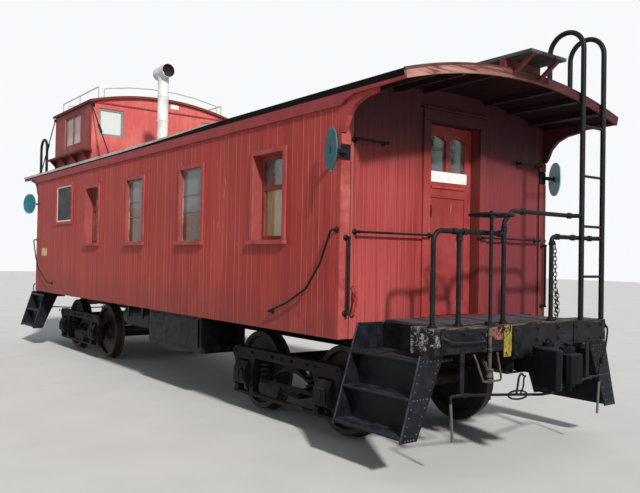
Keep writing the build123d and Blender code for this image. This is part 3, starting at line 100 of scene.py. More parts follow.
class Shader:
    """Small helper that builds a procedural material in object coordinates, coat by coat."""

    def __init__(self, name):
        self.material = bpy.data.materials.new(name)
        self.material.use_nodes = True
        self.tree = self.material.node_tree
        self.bsdf = self.tree.nodes["Principled BSDF"]
        self.coords = Value(self, self.add("ShaderNodeTexCoord").outputs["Object"])
        self.x, self.y, self.z = self.split(self.coords)

    def add(self, kind, **settings):
        node = self.tree.nodes.new(kind)
        for key, value in settings.items():
            setattr(node, key, value)
        return node

    def feed(self, target, value):
        if isinstance(value, Value):
            self.tree.links.new(value.socket, target)
        else:
            target.default_value = value

    def made(self, node, *values, **named):
        """A node's first output, after values went into its first inputs and those named."""
        for target, value in zip(node.inputs, values):
            self.feed(target, value)
        for key, value in named.items():
            self.feed(node.inputs[key.replace("_", " ")], value)
        return Value(self, node.outputs[0])

    def split(self, vector):
        node = self.add("ShaderNodeSeparateXYZ")
        self.made(node, vector)
        return [Value(self, socket) for socket in node.outputs]

    def calc(self, operation, a, b=0.0, clamp=False):
        return self.made(self.add("ShaderNodeMath", operation=operation, use_clamp=clamp), a, b)

    total = partialmethod(calc, "ADD", clamp=True)
    least = partialmethod(calc, "MINIMUM")
    sign = partialmethod(calc, "SIGN")
    fract = partialmethod(calc, "FRACT")
    whole = partialmethod(calc, "FLOOR")
    root = partialmethod(calc, "SQRT")

    def mix(self, factor, a, b):
        node = self.add("ShaderNodeMix", data_type="RGBA")
        self.feed(node.inputs[0], factor)
        self.feed(node.inputs[6], a)
        self.feed(node.inputs[7], b)
        return Value(self, node.outputs[2])

    def coat(self, factor, colour):
        """Lays another colour over the material's own, as thick as factor."""
        self.colour = self.mix(factor, self.colour, colour)

    def span(self, value, low, high, out_low=0.0, out_high=1.0):
        """Maps low..high to out_low..out_high, smoothly and clamped."""
        node = self.add("ShaderNodeMapRange", interpolation_type="SMOOTHSTEP")
        return self.made(node, value, low, high, out_low, out_high)

    def ramp(self, value, low, high, a, b):
        """Colour a up to low and colour b from high on."""
        return self.mix(self.span(value, low, high), a, b)

    def noise(self, scale, detail=4.0, rough=0.6, stretch=(1, 1, 1), distort=0.0):
        place = self.made(self.add("ShaderNodeMapping"), self.coords, Scale=stretch)
        return self.made(self.add("ShaderNodeTexNoise"), Vector=place, Scale=scale, Detail=detail,
                         Roughness=rough, Distortion=distort)

    def marks(self, low, high, *noise, most=1.0):
        """Patches where a noise is over low, full from high on."""
        return self.span(self.noise(*noise), low, high, 0.0, most)

    def normal(self):
        return self.split(Value(self, self.add("ShaderNodeNewGeometry").outputs["Normal"]))

    def up(self):
        """How much the surface faces up, from 0 to 1."""
        return self.span(self.normal()[2], 0.35, 0.95)

    def end_side(self):
        """Way across the car as seen from its nearer end, less than 0 on the left."""
        return self.y * self.sign(self.x)

    def laid(self, along, width, low, high):
        """Boards side by side: count, place across one from 0 to 1, and 1 at the joints."""
        count = along / width
        share = self.fract(count + 100.0)
        return count, share, self.span(self.least(share, 1.0 - share), low, high, 1.0, 0.0)

    def tone(self, count):
        """A random number for each board."""
        node = self.add("ShaderNodeTexWhiteNoise", noise_dimensions="1D")
        return self.made(node, W=self.whole(count))

    def finish(self, rough=0.6, height=None, strength=0.4, distance=0.004, gloss=0.35):
        self.made(self.bsdf, Base_Color=self.colour, Roughness=rough, Specular_IOR_Level=gloss,
                  Metallic=0.0)
        if height is not None:
            bump = self.add("ShaderNodeBump")
            bumps = self.made(bump, Strength=strength, Distance=distance, Height=height)
            self.made(self.bsdf, Normal=bumps)
        return self.material


RED = rgb(158, 48, 43)
RED_DARK = rgb(112, 30, 28)
RED_FADED = rgb(180, 72, 64)
RED_PALE = rgb(206, 124, 112)
BARE = rgb(206, 168, 154)
CREAM = rgb(186, 178, 148)
BLACK = rgb(15, 15, 18)
MILKY = (0.86, 0.88, 0.89, 1)


def siding(name, axis, board=0.083, inside=0.0, red=RED, faded=RED_FADED, peel=0.62, lines=1.0,
           reveal_light_and_shade=(rgb(140, 58, 57), rgb(158, 80, 76))):
    """Painted tongue-and-groove boards that stand upright: a dark joint with a pale painted highlight
    beside it, where the groove's edge would catch the light, tone by board, fading, flakes and dirt. Faces
    nearer the middle than inside have the cabin's paint."""
    s = Shader(name)
    along, across = (s.x, s.y) if axis == "x" else (s.y, s.x)
    count, share, groove = s.laid(along, board, 0.006, 0.042)
    # Painted highlight: a pale line beside each joint, broken up by long streaks.
    worn = s.span(share, 0.03, 0.06) * s.span(share, 0.1, 0.15, 1.0, 0.0)
    streaks = s.noise(30, 6, 0.66, (1, 1, 0.045), 0.2)
    broad = s.noise(0.8, 4, 0.55)
    fine = s.noise(140, 3, 0.6, (1, 1, 0.10))
    fade = streaks * 0.6 + broad * 0.4
    s.colour = s.ramp(fade, 0.42, 0.64, red, faded)
    s.coat(s.span(s.tone(count), 0.1, 1.0) * 0.28, RED_DARK)
    s.coat(s.marks(0.50, 0.75, 0.5, 4, 0.62, most=0.45), RED_DARK)
    highlight_breaks = s.marks(0.38, 0.58, 20, 5, 0.7, (1, 1, 0.02))
    s.coat(worn * highlight_breaks * (0.78 * lines), RED_PALE)
    flakes = s.marks(peel, peel + 0.07, 22, 7, 0.74, (1, 1, 0.10), 0.4)
    s.coat(flakes * s.span(broad, 0.42, 0.66, 0.1, 0.75), BARE)
    dirt = s.span(s.z, 1.0, 1.5, 0.7, 0.0) * s.noise(5, 5, 0.7)
    s.coat(dirt, rgb(84, 50, 44))
    drips = s.span(s.z, 2.3, 3.0) * s.marks(0.52, 0.7, 9, 5, 0.7, (1, 1, 0.05))
    s.coat(drips * 0.35, rgb(80, 30, 34))
    if axis == "y":
        end_side = s.end_side()
        # A darker, cooler red toward the end's far side: partly the paint's own tone, partly painted shade.
        cool = s.span(end_side, -0.5, 0.9) * s.span(broad, 0.2, 0.7, 0.5, 0.9)
        s.coat(cool, rgb(108, 42, 50))
        warm = s.span(end_side, -0.9, -0.35, 1.0, 0.0) * s.span(s.z, 1.2, 2.3, 1.0, 0.3)
        s.coat(warm * s.span(streaks, 0.3, 0.6, 0.3, 0.8), rgb(178, 80, 78))
        # Painted shade: the canopy's shadow darkens the top of the end wall.
        soot = s.z + broad * 0.5
        s.coat(s.span(soot, 2.55, 3.15, 0.0, 0.86), rgb(44, 20, 28))
    s.coat(groove * (0.78 * lines), rgb(62, 18, 20))
    height = fine * 0.14 - groove * lines - flakes * 0.12
    # In the openings, faces across the wall are paler as painted light in the side walls and darker as
    # painted shade in the end walls.
    reveal = abs(s.normal()["xy".index(axis)]) > 0.7
    s.coat(reveal, s.ramp(broad, 0.3, 0.7, *reveal_light_and_shade))
    if axis == "x":
        shaded = (abs(s.x) > END - 0.02) * (s.end_side() > 0.0)
        s.coat(shaded * (reveal * 0.85), rgb(62, 22, 26))
    if inside:
        cabin = s.ramp(broad, 0.3, 0.7, CREAM, rgb(150, 142, 116))
        s.coat(abs(across) < inside, cabin)
    return s.finish(s.span(fade, 0.3, 0.7, 0.55, 0.78), height, 0.8, 0.006, 0.28)


def cupola_paint(name):
    """Smooth salmon paint on the cupola's ends, darker red on its sides as painted shade, grey in the
    window openings.
    """
    s = Shader(name)
    broad = s.noise(1.1, 4, 0.55)
    streaks = s.noise(16, 6, 0.66, (1, 1, 0.12), 0.3)
    both = streaks * 0.5 + broad * 0.5
    ends = s.ramp(both, 0.40, 0.60, rgb(190, 86, 84), rgb(206, 108, 102))
    # The sides' darker red is painted shade.
    sides = s.ramp(streaks, 0.40, 0.62, rgb(128, 42, 44), rgb(146, 62, 60))
    s.colour = s.mix(abs(s.y) > CUPOLA_SIDE - 0.002, ends, sides)
    flakes = s.marks(0.66, 0.72, 24, 7, 0.74, (1, 1, 0.3), 0.4)
    s.coat(flakes * 0.6, BARE)
    s.coat(s.span(s.z, 3.2, 3.5, 0.45, 0.0), rgb(120, 44, 44))
    away = abs(s.x - (CUPOLA_REAR + CUPOLA_FRONT) / 2)
    half = (CUPOLA_FRONT - CUPOLA_REAR) / 2
    within = (away < half - 0.002) * (abs(s.y) < CUPOLA_SIDE - 0.002)
    s.coat(within, s.mix(broad, rgb(98, 102, 108), rgb(136, 140, 146)))
    height = s.noise(90, 4, 0.6, (1, 1, 0.2)) * 0.3 - flakes * 0.3
    return s.finish(s.span(broad, 0.3, 0.7, 0.5, 0.7), height, 0.5, 0.004, 0.25)


def painted_red(name, base=RED, faded=RED_FADED, grain=(0.08, 1, 1), amount=0.7,
                black_over=None, grey_over=None, painted_shade=False, joint=None):
    """Red paint on a plain board, grain along the stretched axis. Over the heights black_over and grey_over
    it has that colour, the shade flag paints the canopy's shadow over its top and a darker far side of the
    end, and joint is the y of a corner's seam, which also gets the darker far side."""
    s = Shader(name)
    wear = s.noise(3.0, 5, 0.62)
    s.colour = s.ramp(wear, 0.35, 0.7, base, faded)
    flakes = s.marks(0.62, 0.71, 22, 6, 0.72, grain, 0.4)
    s.coat(flakes * amount, BARE)
    s.coat(s.marks(0.5, 0.75, 7, 5, 0.6, most=0.5), RED_DARK)
    if black_over is not None:
        tar = s.z + wear * 0.008 > black_over
        s.coat(tar * (s.z < 3.2), rgb(18, 15, 17))
    if joint is not None:
        near = s.span(abs(abs(s.y) - joint), 0.003, 0.008, 0.85, 0.0)
        s.coat(near, rgb(44, 14, 17))
    # A darker, cooler red toward the far side of the end: partly the paint's own tone, partly painted
    # shade.
    if painted_shade or joint is not None:
        s.coat(s.span(s.end_side(), -0.5, 0.9, 0.0, 0.8), rgb(104, 38, 42))
    # Painted shade: the canopy's shadow darkens the top of the end.
    if painted_shade:
        soot = s.z + wear * 0.4
        s.coat(s.span(soot, 2.50, 3.05, 0.0, 0.88), rgb(40, 18, 24))
    if grey_over is not None:
        high = (s.z > grey_over) * (abs(s.y) < CUPOLA_IN)
        s.coat(high, s.mix(wear, rgb(112, 116, 122), rgb(142, 146, 150)))
    height = s.noise(60, 4, 0.6, grain) * 0.6 - flakes
    return s.finish(s.span(wear, 0.3, 0.7, 0.55, 0.76), height, 0.5, 0.003, 0.28)


def black_iron(name, base=BLACK, rust=0.35, dust=0.4, dust_and_sheen=rgb(74, 73, 76), pale_over=None,
               teal_over=None, grey_under=None):
    """Black paint on iron, with rust where it wears through and pale dust on what faces up, which on the
    edge irons is a painted highlight. It is pale over the height pale_over, grey under grey_under, and teal
    farther out than teal_over."""
    s = Shader(name)
    wear = s.noise(9, 6, 0.68)
    fine = s.noise(70)
    s.colour = s.ramp(wear, 0.42, 0.66, base, rgb(30, 31, 37))
    spots = s.marks(0.6, 0.7, 16, 7, 0.72, (1, 1, 1), 0.3) * rust
    s.coat(spots, rgb(98, 58, 40))
    # Upward faces: dust, which on the edge irons is a painted highlight.
    s.coat(s.up() * dust * s.span(wear, 0.3, 0.7), dust_and_sheen)
    if pale_over is not None:
        pale = s.mix(wear, rgb(150, 152, 154), rgb(196, 197, 198))
        s.coat(s.z > pale_over, pale)
    if grey_under is not None:
        grey = s.mix(wear, rgb(62, 62, 62), rgb(110, 109, 106))
        s.coat(s.z < grey_under, grey)
    if teal_over is not None:
        s.coat(abs(s.y) > teal_over, rgb(42, 104, 108))
    height = fine * 0.5 + spots * 0.6
    return s.finish(s.span(wear, 0.35, 0.65, 0.42, 0.66), height, 0.28, 0.002, 0.16)


def planks(name, axis, across, width, light, dark, red_wide=None):
    """Weathered boards that run along one axis, with gaps every width across the other. Those farther out
    than red_wide beside the cupola are red."""
    s = Shader(name)
    count, share, joint = s.laid({"x": s.x, "y": s.y}[across], width, 0.004, 0.02)
    grain = s.noise(48, 7, 0.68, {"x": (0.05, 1, 1), "y": (1, 0.05, 1)}[axis], 0.6)
    s.colour = s.ramp(grain, 0.34, 0.66, dark, light)
    s.coat(s.tone(count) * 0.3, dark)
    s.coat(joint * 0.85, rgb(22, 20, 19))
    if red_wide is not None:
        by_cupola = (s.x < -1.9) * (s.x > -4.15)
        shelf = (abs(s.y) > red_wide) * by_cupola
        s.coat(shelf, s.mix(grain, rgb(70, 24, 26), rgb(120, 50, 48)))
    return s.finish(0.75, grain - joint, 0.6, 0.004, 0.2)


def roof_cover(name):
    """Pale roof coating with laps across the car, stains and grit, over a boarded ceiling that is painted
    near black as shade. White drips down the roof's edge give way to black near each end, on the side left
    of that end."""
    s = Shader(name)
    lap = s.laid(s.x, 0.92, 0.004, 0.02)[2]
    stain = s.noise(2.2, 6, 0.66)
    s.colour = s.ramp(stain, 0.35, 0.7, rgb(222, 222, 217), rgb(176, 175, 168))
    s.coat(s.marks(0.60, 0.72, 9, 7, 0.72, most=0.8), rgb(112, 104, 96))
    s.coat(lap * 0.4, rgb(128, 124, 118))
    facing = s.normal()[2]
    upright = abs(facing) < 0.5
    black_top = s.span(s.x * s.sign(s.y * -1.0), -0.8, 4.0, 3.04, 3.084)
    black_edge = upright * (s.z + stain * 0.006 < black_top)
    seam = s.laid(s.y, 0.105, 0.01, 0.05)[2]
    # Painted shade: faces that look down are painted near black, with darker seams between the boards.
    ceiling = s.mix(s.marks(0.35, 0.7, 7, 5, 0.6, (0.2, 1, 1)), rgb(26, 9, 11), rgb(40, 15, 17))
    ceiling = s.mix(seam * 0.7, ceiling, rgb(8, 5, 6))
    s.coat(facing < -0.6, ceiling)
    s.coat(black_edge, rgb(14, 12, 14))
    cupola_edge = s.mix(stain, rgb(96, 34, 32), rgb(140, 70, 62))
    s.coat(upright * (s.z > 3.6), cupola_edge)
    height = lap * 0.8 + s.noise(40) * 0.5
    return s.finish(0.8, height, 0.35, 0.004, 0.1)


def glass(name):
    """Old window glass: faint waves and dust; the cupola's end panes are a cloudy white that is painted sky
    seen through them, and its side panes a brown painted reflection.
    """
    s = Shader(name)
    s.made(s.bsdf, IOR=1.5)
    dust = s.marks(0.42, 0.75, 9, 5, 0.65)
    cupola_end = (s.z > CUPOLA_Z) * (abs(s.y) < CUPOLA_IN)
    cupola_side = (s.z > CUPOLA_Z) * (1.0 - cupola_end)
    # Painted light: the cupola's end panes are made cloudy white for the sky behind them, and its side
    # panes take a brown painted reflection, darker near the top.
    dust_and_painted_view = s.total(cupola_end * 0.55, dust * 0.03)
    dust_and_painted_view = s.total(dust_and_painted_view, cupola_side * 0.8)
    s.made(s.bsdf, Transmission_Weight=0.94 - dust_and_painted_view)
    dim = s.total(s.span(s.z, 3.5, 3.68), (dust - 0.5) * 0.5)
    brown = s.mix(dim, rgb(170, 150, 130), rgb(108, 72, 62))
    s.colour = s.mix(dust_and_painted_view, (0.86, 0.90, 0.87, 1), s.mix(cupola_side, MILKY, brown))
    return s.finish(s.span(dust, 0, 1, 0.05, 0.2), s.noise(2.5, 2, 0.4), 0.12, 0.01, 0.15)


def storm_glass(name):
    """Storm panes near the wall's face: a pale grey painted reflection of the sky above, brown cabin tone
    low down, browner in the window nearer the middle, with dust."""
    s = Shader(name)
    s.made(s.bsdf, IOR=1.5)
    smear = s.noise(3.4, 5, 0.62, (1, 1, 0.45), 0.3)
    low = s.span(s.z, 1.86, 2.4, 0.8, 0.0) + smear * 0.5
    low = low + (s.x < 0.9) * 0.28
    # The grey above is a painted sky reflection; the brown low down is the cabin seen through.
    s.colour = s.ramp(low, 0.35, 0.85, rgb(130, 134, 138), rgb(112, 76, 54))
    s.coat(s.marks(0.5, 0.7, 30, 6, 0.7) * 0.25, rgb(156, 150, 142))
    s.made(s.bsdf, Transmission_Weight=0.35)
    return s.finish(s.span(smear, 0.3, 0.7, 0.08, 0.25), s.noise(2.5, 2, 0.4), 0.12, 0.01, 0.3)


def arch_paint(name):
    """The roof's end boards: peeled to pinkish wood on one side, brown-red on the other, dark on top."""
    s = Shader(name)
    grain = s.noise(26, 6, 0.7, (1, 0.08, 1), 0.4)
    wear = s.noise(3.0, 5, 0.62)
    share = s.span(s.end_side() + wear * 0.8, -0.7, 0.75, 1.0, 0.0)
    paint = s.ramp(wear, 0.3, 0.7, rgb(58, 24, 26), rgb(82, 38, 38))
    peeled = s.ramp(grain, 0.35, 0.65, rgb(128, 72, 66), rgb(180, 132, 120))
    s.colour = s.mix(share * s.span(grain, 0.38, 0.55, 0.35, 1.0), paint, peeled)
    roof = ROOF_TOP - s.y * s.y * ROOF_CURVE
    s.coat((s.z > roof - 0.01) * 0.8, rgb(44, 22, 24))
    return s.finish(0.72, grain, 0.5, 0.003, 0.25)


def truck_iron(name, base=rgb(20, 19, 19), second=rgb(38, 34, 32), dust_and_sheen=rgb(66, 57, 49), rust=0.5):
    """Cast iron under the car: grease, brown dust and rust, rough from casting. The pale coat on top is
    dust, and on the coupler a bluish painted highlight.
    """
    s = Shader(name)
    wear = s.noise(7, 6, 0.7)
    s.colour = s.ramp(wear, 0.35, 0.68, base, second)
    rusty = s.marks(0.56, 0.7, 14, 6, 0.7, (1, 1, 1), 0.5) * rust
    s.coat(rusty, rgb(82, 50, 36))
    # Upward faces: dust, which on the coupler is a bluish painted highlight.
    s.coat(s.up() * s.span(wear, 0.25, 0.6, 0.2, 0.75), dust_and_sheen)
    height = s.noise(90) + wear * 0.8
    return s.finish(s.span(wear, 0.3, 0.7, 0.52, 0.82), height, 0.45, 0.003, 0.12)


def wheel_iron(name):
    """Rusty brown-black wheels and axles; their darkness is partly painted shade under the car."""
    s = Shader(name)
    wear = s.noise(10, 6, 0.7)
    s.colour = s.ramp(wear, 0.35, 0.68, rgb(30, 24, 22), rgb(52, 38, 32))
    s.coat(s.marks(0.55, 0.7, 30, 5, 0.6, most=0.6), rgb(38, 32, 30))
    return s.finish(s.span(wear, 0.3, 0.7, 0.5, 0.75), s.noise(80), 0.35, 0.002)


def plain_paint(name, base, other, rough=0.5, scale=6.0, spots=None, disc=False, gloss=0.35):
    """Paint with slow tone changes and a few spots of another colour. A disc chips at its rim, and its back
    is paler as painted light from the sky."""
    s = Shader(name)
    wear = s.noise(scale, 5, 0.62)
    s.colour = s.ramp(wear, 0.35, 0.68, base, other)
    if disc:
        away = abs(s.z - DISC_Z)
        rim = s.span(away, DISC_HALF - 0.03, DISC_HALF) * 0.1
        chips = s.span(s.noise(60, 6, 0.75) + rim, 0.62, 0.66)
        s.coat(chips * (away > DISC_HALF - 0.04), rgb(196, 204, 200))
        # Painted light: the back of each disc is paler, as if lit by the sky.
        back = s.normal()[1] * s.sign(s.y) < -0.2
        s.coat(back, s.mix(wear, rgb(112, 186, 198), rgb(146, 214, 224)))
    if spots is not None:
        s.coat(s.marks(0.60, 0.68, scale * 4, 6, 0.7, (1, 1, 1), 0.4), spots)
    rough = s.span(wear, 0.3, 0.7, rough * 0.8, min(1, rough * 1.25))
    return s.finish(rough, s.noise(70), 0.25, 0.002, gloss)


def flaked_paint(name, base, under, share):
    """Paint that has come off in flakes down to the black beneath."""
    s = Shader(name)
    wear = s.noise(26, 7, 0.75, (1, 1, 0.6), 0.7)
    broad = s.noise(7)
    left = s.span(wear * 0.7 + broad * 0.3, share - 0.02, share + 0.02)
    s.colour = s.mix(left, under, s.mix(broad, base, under))
    return s.finish(0.7, left + s.noise(90), 0.5, 0.002, 0.2)


def jack_paint(name):
    """Aluminium paint with stains, and soot inside the barrel head."""
    s = Shader(name)
    wear = s.noise(5, 5, 0.62)
    s.colour = s.ramp(wear, 0.35, 0.7, rgb(226, 227, 226), rgb(190, 191, 190))
    stains = s.marks(0.60, 0.70, 20, 6, 0.7, (1, 1, 0.3), 0.4, most=0.7)
    s.coat(stains, rgb(128, 112, 98))
    dy, dz = (s.y - JACK_Y, s.z - JACK_HEAD_Z)
    radius = s.root(dy * dy + dz * dz)
    soot = (radius < 0.0945) * (s.z > JACK_HEAD_Z - 0.095)
    s.coat(soot, rgb(13, 12, 12))
    return s.finish(s.span(wear, 0.3, 0.7, 0.36, 0.6), s.noise(70), 0.2, 0.002)


def canopy_paint(name):
    """Red on the brackets, with painted shade: dark on the far side of each end, near black on the purlins
    in the middle.
    """
    s = Shader(name)
    wear = s.noise(3.0, 5, 0.62, (0.2, 1, 1))
    s.colour = s.ramp(wear, 0.35, 0.7, rgb(146, 46, 46), rgb(166, 66, 62))
    # Painted shade: dark on the far side of each end.
    s.coat(s.span(s.end_side(), 0.2, 0.9, 0.0, 0.92), rgb(52, 18, 21))
    # Painted shade: near black on the purlins in the middle, under the canopy.
    middle = s.span(abs(s.y), 1.2, 1.28, 1.0, 0.0)
    s.coat(middle, s.mix(wear, rgb(24, 11, 12), rgb(42, 18, 19)))
    return s.finish(s.span(wear, 0.3, 0.7, 0.5, 0.72), s.noise(60, 4, 0.6, (0.1, 1, 1)), 0.4, 0.003)


def cloth(name):
    """Plain woven ochre cloth, olive on its right part, thin enough to glow a little."""
    s = Shader(name)
    waves = []
    for direction in ("X", "Z"):
        wave = s.add("ShaderNodeTexWave", wave_type="BANDS", bands_direction=direction)
        waves.append(s.made(wave, Vector=s.coords, Scale=160.0))
    weave = waves[0] * waves[1]
    s.colour = s.mix(s.marks(0.3, 0.7, 4, 4, 0.6), rgb(236, 176, 30), rgb(206, 156, 44))
    s.coat(weave * 0.25, rgb(120, 92, 40))
    s.coat(s.span(s.x, 3.12, 3.26) * 0.7, rgb(164, 138, 36))
    s.made(s.bsdf, Sheen_Weight=0.3, Subsurface_Weight=0.1)
    return s.finish(0.86, weave, 0.3, 0.001)


def beam_timber(name):
    """Old beam under worn black paint, with splintered ends that show grey wood and white paint."""
    s = Shader(name)
    grain = s.noise(40, 7, 0.7, (1, 0.05, 1), 0.7)
    s.colour = s.ramp(grain, 0.35, 0.7, rgb(17, 17, 21), rgb(36, 37, 42))
    ends = s.span(abs(s.y), 0.8, 1.02)
    chips = s.marks(0.515, 0.59, 15, 7, 0.75, (1, 0.28, 1), 0.8)
    s.coat(chips * (ends * 0.9), rgb(176, 172, 164))
    edge = s.span(s.z, 1.122, 1.143) * s.marks(0.46, 0.6, 18, 6, 0.7, (1, 0.3, 1), 0.5)
    s.coat(edge * 0.7, rgb(128, 116, 100))
    bare = s.marks(0.56, 0.68, 8, 7, 0.7, (1, 0.15, 1), 0.5)
    s.coat(bare * 0.6, rgb(62, 54, 49))
    return s.finish(0.76, grain + chips * 0.8, 0.8, 0.006, 0.15)


UP_GRAIN = (1, 1, 0.08)
MATERIALS = {
    "side": siding("siding_sides", "x", inside=SIDE - WALL_DEPTH),
    "end": siding("siding_ends", "y", 0.0415, END - WALL_DEPTH, rgb(140, 44, 44), rgb(158, 62, 60),
                  0.66, 0.8, (rgb(96, 32, 34), rgb(114, 46, 46))),
    "cupola": cupola_paint("cupola_paint"),
    "door": painted_red("door_red", rgb(134, 44, 46), rgb(150, 62, 60), UP_GRAIN, amount=0.35),
    "end_trim": painted_red("end_trim_red", rgb(140, 46, 46), rgb(156, 64, 62), UP_GRAIN, amount=0.4,
                            painted_shade=True),
    "bracket": painted_red("bracket_red", rgb(92, 32, 32), rgb(122, 54, 50), (1, 1, 1), amount=0.4),
    "casing": painted_red("casing_red", rgb(144, 54, 54), rgb(164, 78, 74), UP_GRAIN, amount=0.4),
    "rivet": plain_paint("worn_rivets", rgb(52, 54, 60), rgb(84, 86, 92), 0.6, 20),
    "storm": storm_glass("storm_glass"),
    "storm_frame": painted_red("storm_frame_paint", rgb(116, 70, 64), rgb(168, 142, 132), (1, 1, 0.1),
                               amount=0.6),
    "corner": painted_red("corner_red", rgb(152, 62, 58), rgb(176, 92, 86), UP_GRAIN, amount=0.5,
                          joint=1.266),
    "trim": painted_red("trim_red"),
    "trim_up": painted_red("trim_red_upright", grain=UP_GRAIN),
    "fascia": painted_red("fascia_red", rgb(134, 44, 48), rgb(152, 64, 68), (0.05, 1, 1), amount=0.4,
                          black_over=3.024),
    "arch": arch_paint("arch_peeling"),
    "iron": black_iron("black_paint_iron"),
    "worn_iron": black_iron("worn_dark_iron", rgb(26, 26, 28), 0.5, 0.6),
    "lever_iron": black_iron("lever_iron_paint", grey_under=0.585),
    "rubbed_iron": black_iron("rubbed_iron", rgb(84, 78, 70), 0.6, 0.6, rgb(140, 130, 116)),
    "spot": flaked_paint("worn_white_spot", rgb(214, 212, 206), rgb(64, 60, 56), 0.55),
    "hand_iron": black_iron("hand_iron_paint", pale_over=3.98),
    "marker_iron": black_iron("marker_iron_paint", teal_over=1.492),
    # Paler iron with a pale top along the steps' edges: a painted highlight.
    "edge_iron": black_iron("edge_highlight_iron", rgb(52, 55, 64), 0.1, 0.8, rgb(104, 108, 120)),
    "steps": black_iron("black_paint_steps", rgb(17, 19, 24), 0.04, 0.4, rgb(72, 76, 88)),
    # The trucks, the tool box and the wheels are darker than their black paint and rust: painted shade
    # under the car.
    "truck": truck_iron("truck_iron"),
    "box": black_iron("tool_box_black", rgb(13, 13, 14), 0.25, 0.5),
    "wheel": wheel_iron("wheel_iron"),
    # Coupler: the bluish pale top is a painted highlight.
    "coupler": truck_iron("coupler_iron", rgb(8, 9, 12), rgb(15, 17, 22), rgb(40, 44, 56), 0.10),
    "roof": roof_cover("roof_cover"),
    "walk": planks("walk_boards", "x", "y", 10.0, rgb(104, 103, 101), rgb(40, 41, 44), 1.14),
    "floor": planks("floor_boards", "y", "x", 0.14, rgb(92, 94, 104), rgb(52, 53, 60)),
    "frame_wood": planks("under_frame_wood", "y", "x", 10.0, rgb(30, 27, 26), rgb(14, 13, 13)),
    "beam": beam_timber("beam_timber"),
    "glass": glass("old_glass"),
    "canopy": canopy_paint("canopy_framing_red"),
    "white": plain_paint("white_enamel", rgb(230, 230, 228), rgb(212, 212, 208), 0.4, 9),
    "sign": plain_paint("sign_black", rgb(24, 25, 29), rgb(38, 40, 45), 0.6, 12, rgb(70, 72, 76)),
    "patch": flaked_paint("splintered_patch", rgb(196, 120, 108), rgb(26, 20, 20), 0.50),
    "yellow": flaked_paint("yellow_strip_paint", rgb(206, 182, 66), rgb(34, 32, 24), 0.485),
    "buff": plain_paint("buff_plate", rgb(206, 178, 132), rgb(180, 148, 104), 0.55, 14, rgb(120, 84, 60)),
    "curtain": cloth("curtain_weave"),
    "jack": jack_paint("jack_paint"),
    "teal": plain_paint("teal_enamel", rgb(30, 98, 106), rgb(40, 114, 123), 0.45, 7, rgb(120, 158, 156),
                        True, 0.12),
    "sash": painted_red("sash_red", rgb(118, 44, 38), rgb(150, 80, 70), (1, 1, 0.1), amount=0.6,
                        grey_over=CUPOLA_Z),
}

# CAD nodes by their looks; wheels and trucks are told by name, and the rest are black iron
LOOKS = {
    "side": "side_walls", "end": "end_walls", "cupola": "cupola_walls", "casing": "window_casings",
    "sash": "window_sashes", "glass": "window_glass front_door_glass rear_door_glass",
    "door": "front_door rear_door", "fascia": "side_fascias", "arch": "roof_end_arches",
    "canopy": "canopy_framing", "roof": "main_roof cupola_roof", "walk": "roof_walk",
    "bracket": "roof_walk_saddles", "jack": "smoke_jack", "teal": "marker_discs", "floor": "floors",
    "frame_wood": "side_sills crossbearers", "beam": "end_beams", "steps": "step_treads step_stringers",
    "box": "tool_box air_reservoir", "coupler": "couplers coupler_knuckles", "hand_iron": "hand_irons",
    "lever_iron": "uncoupling_levers", "marker_iron": "marker_brackets",
}
LOOK_OF = {name: key for key, names in LOOKS.items() for name in names.split()}
for name, obj in nodes.items():
    if name.startswith(("axle_", "wheels_")):
        key = "wheel"
    elif name.startswith(("front_truck_", "rear_truck_")):
        key = "truck"
    else:
        key = LOOK_OF.get(name, "iron")
    for slot in obj.material_slots:
        slot.material = MATERIALS[key]
    if not obj.material_slots:
        obj.data.materials.append(MATERIALS[key])

# Slots of the pieces by their looks; the other looks take black_iron
SLOTS = {
    "red_paint": "corner end_trim fascia trim trim_up storm_frame patch", "black_paint": "sign steps",
    "jack_steel": "white buff yellow spot jack", "window_glass": "storm", "curtain_cloth": "curtain",
}
SLOT_OF = {key: slot for slot, keys in SLOTS.items() for key in keys.split()}


def placed(name, data):
    obj = bpy.data.objects.new(name, data)
    scene.collection.objects.link(obj)
    return obj


def corner_order(face):
    """A number that tells faces apart by their corners: the bevel's own order varies from run to run."""
    a, b, c = sorted(vert.index for vert in face.verts)[:3]
    return (a * 1e5 + b) * 1e5 + c


def piece(name, bm, key, body="car_body", slot=None, smooth=False):
    """Turns mesh code into a piece that rides on a body and has the material of its look."""
    mesh = bpy.data.meshes.new(name)
    bm.verts.index_update()
    bm.faces.sort(key=corner_order)
    bmesh.ops.recalc_face_normals(bm, faces=bm.faces[:])
    bm.to_mesh(mesh)
    bm.free()
    obj = placed(name, mesh)
    mesh.materials.append(MATERIALS[key])
    for polygon in mesh.polygons:
        polygon.use_smooth = smooth
    slot = slot or SLOT_OF.get(key, "black_iron")
    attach(obj, body)
    return obj


def turned(turn, *points):
    """Points of the front end, or with turn -1 their half turn about the car's middle."""
    return [(turn * x, turn * y, z) for x, y, z in points]


def skin(bm, rings, closed=False):
    """Faces between rings of points, with end caps unless the rings close on themselves."""
    count = len(rings[0])
    for lower, upper in zip(rings, rings[1:] + rings[:1] if closed else rings[1:]):
        for k in range(count):
            bm.faces.new((lower[k], lower[(k + 1) % count], upper[(k + 1) % count], upper[k]))
    if not closed:
        bm.faces.new(rings[0][::-1])
        bm.faces.new(rings[-1])


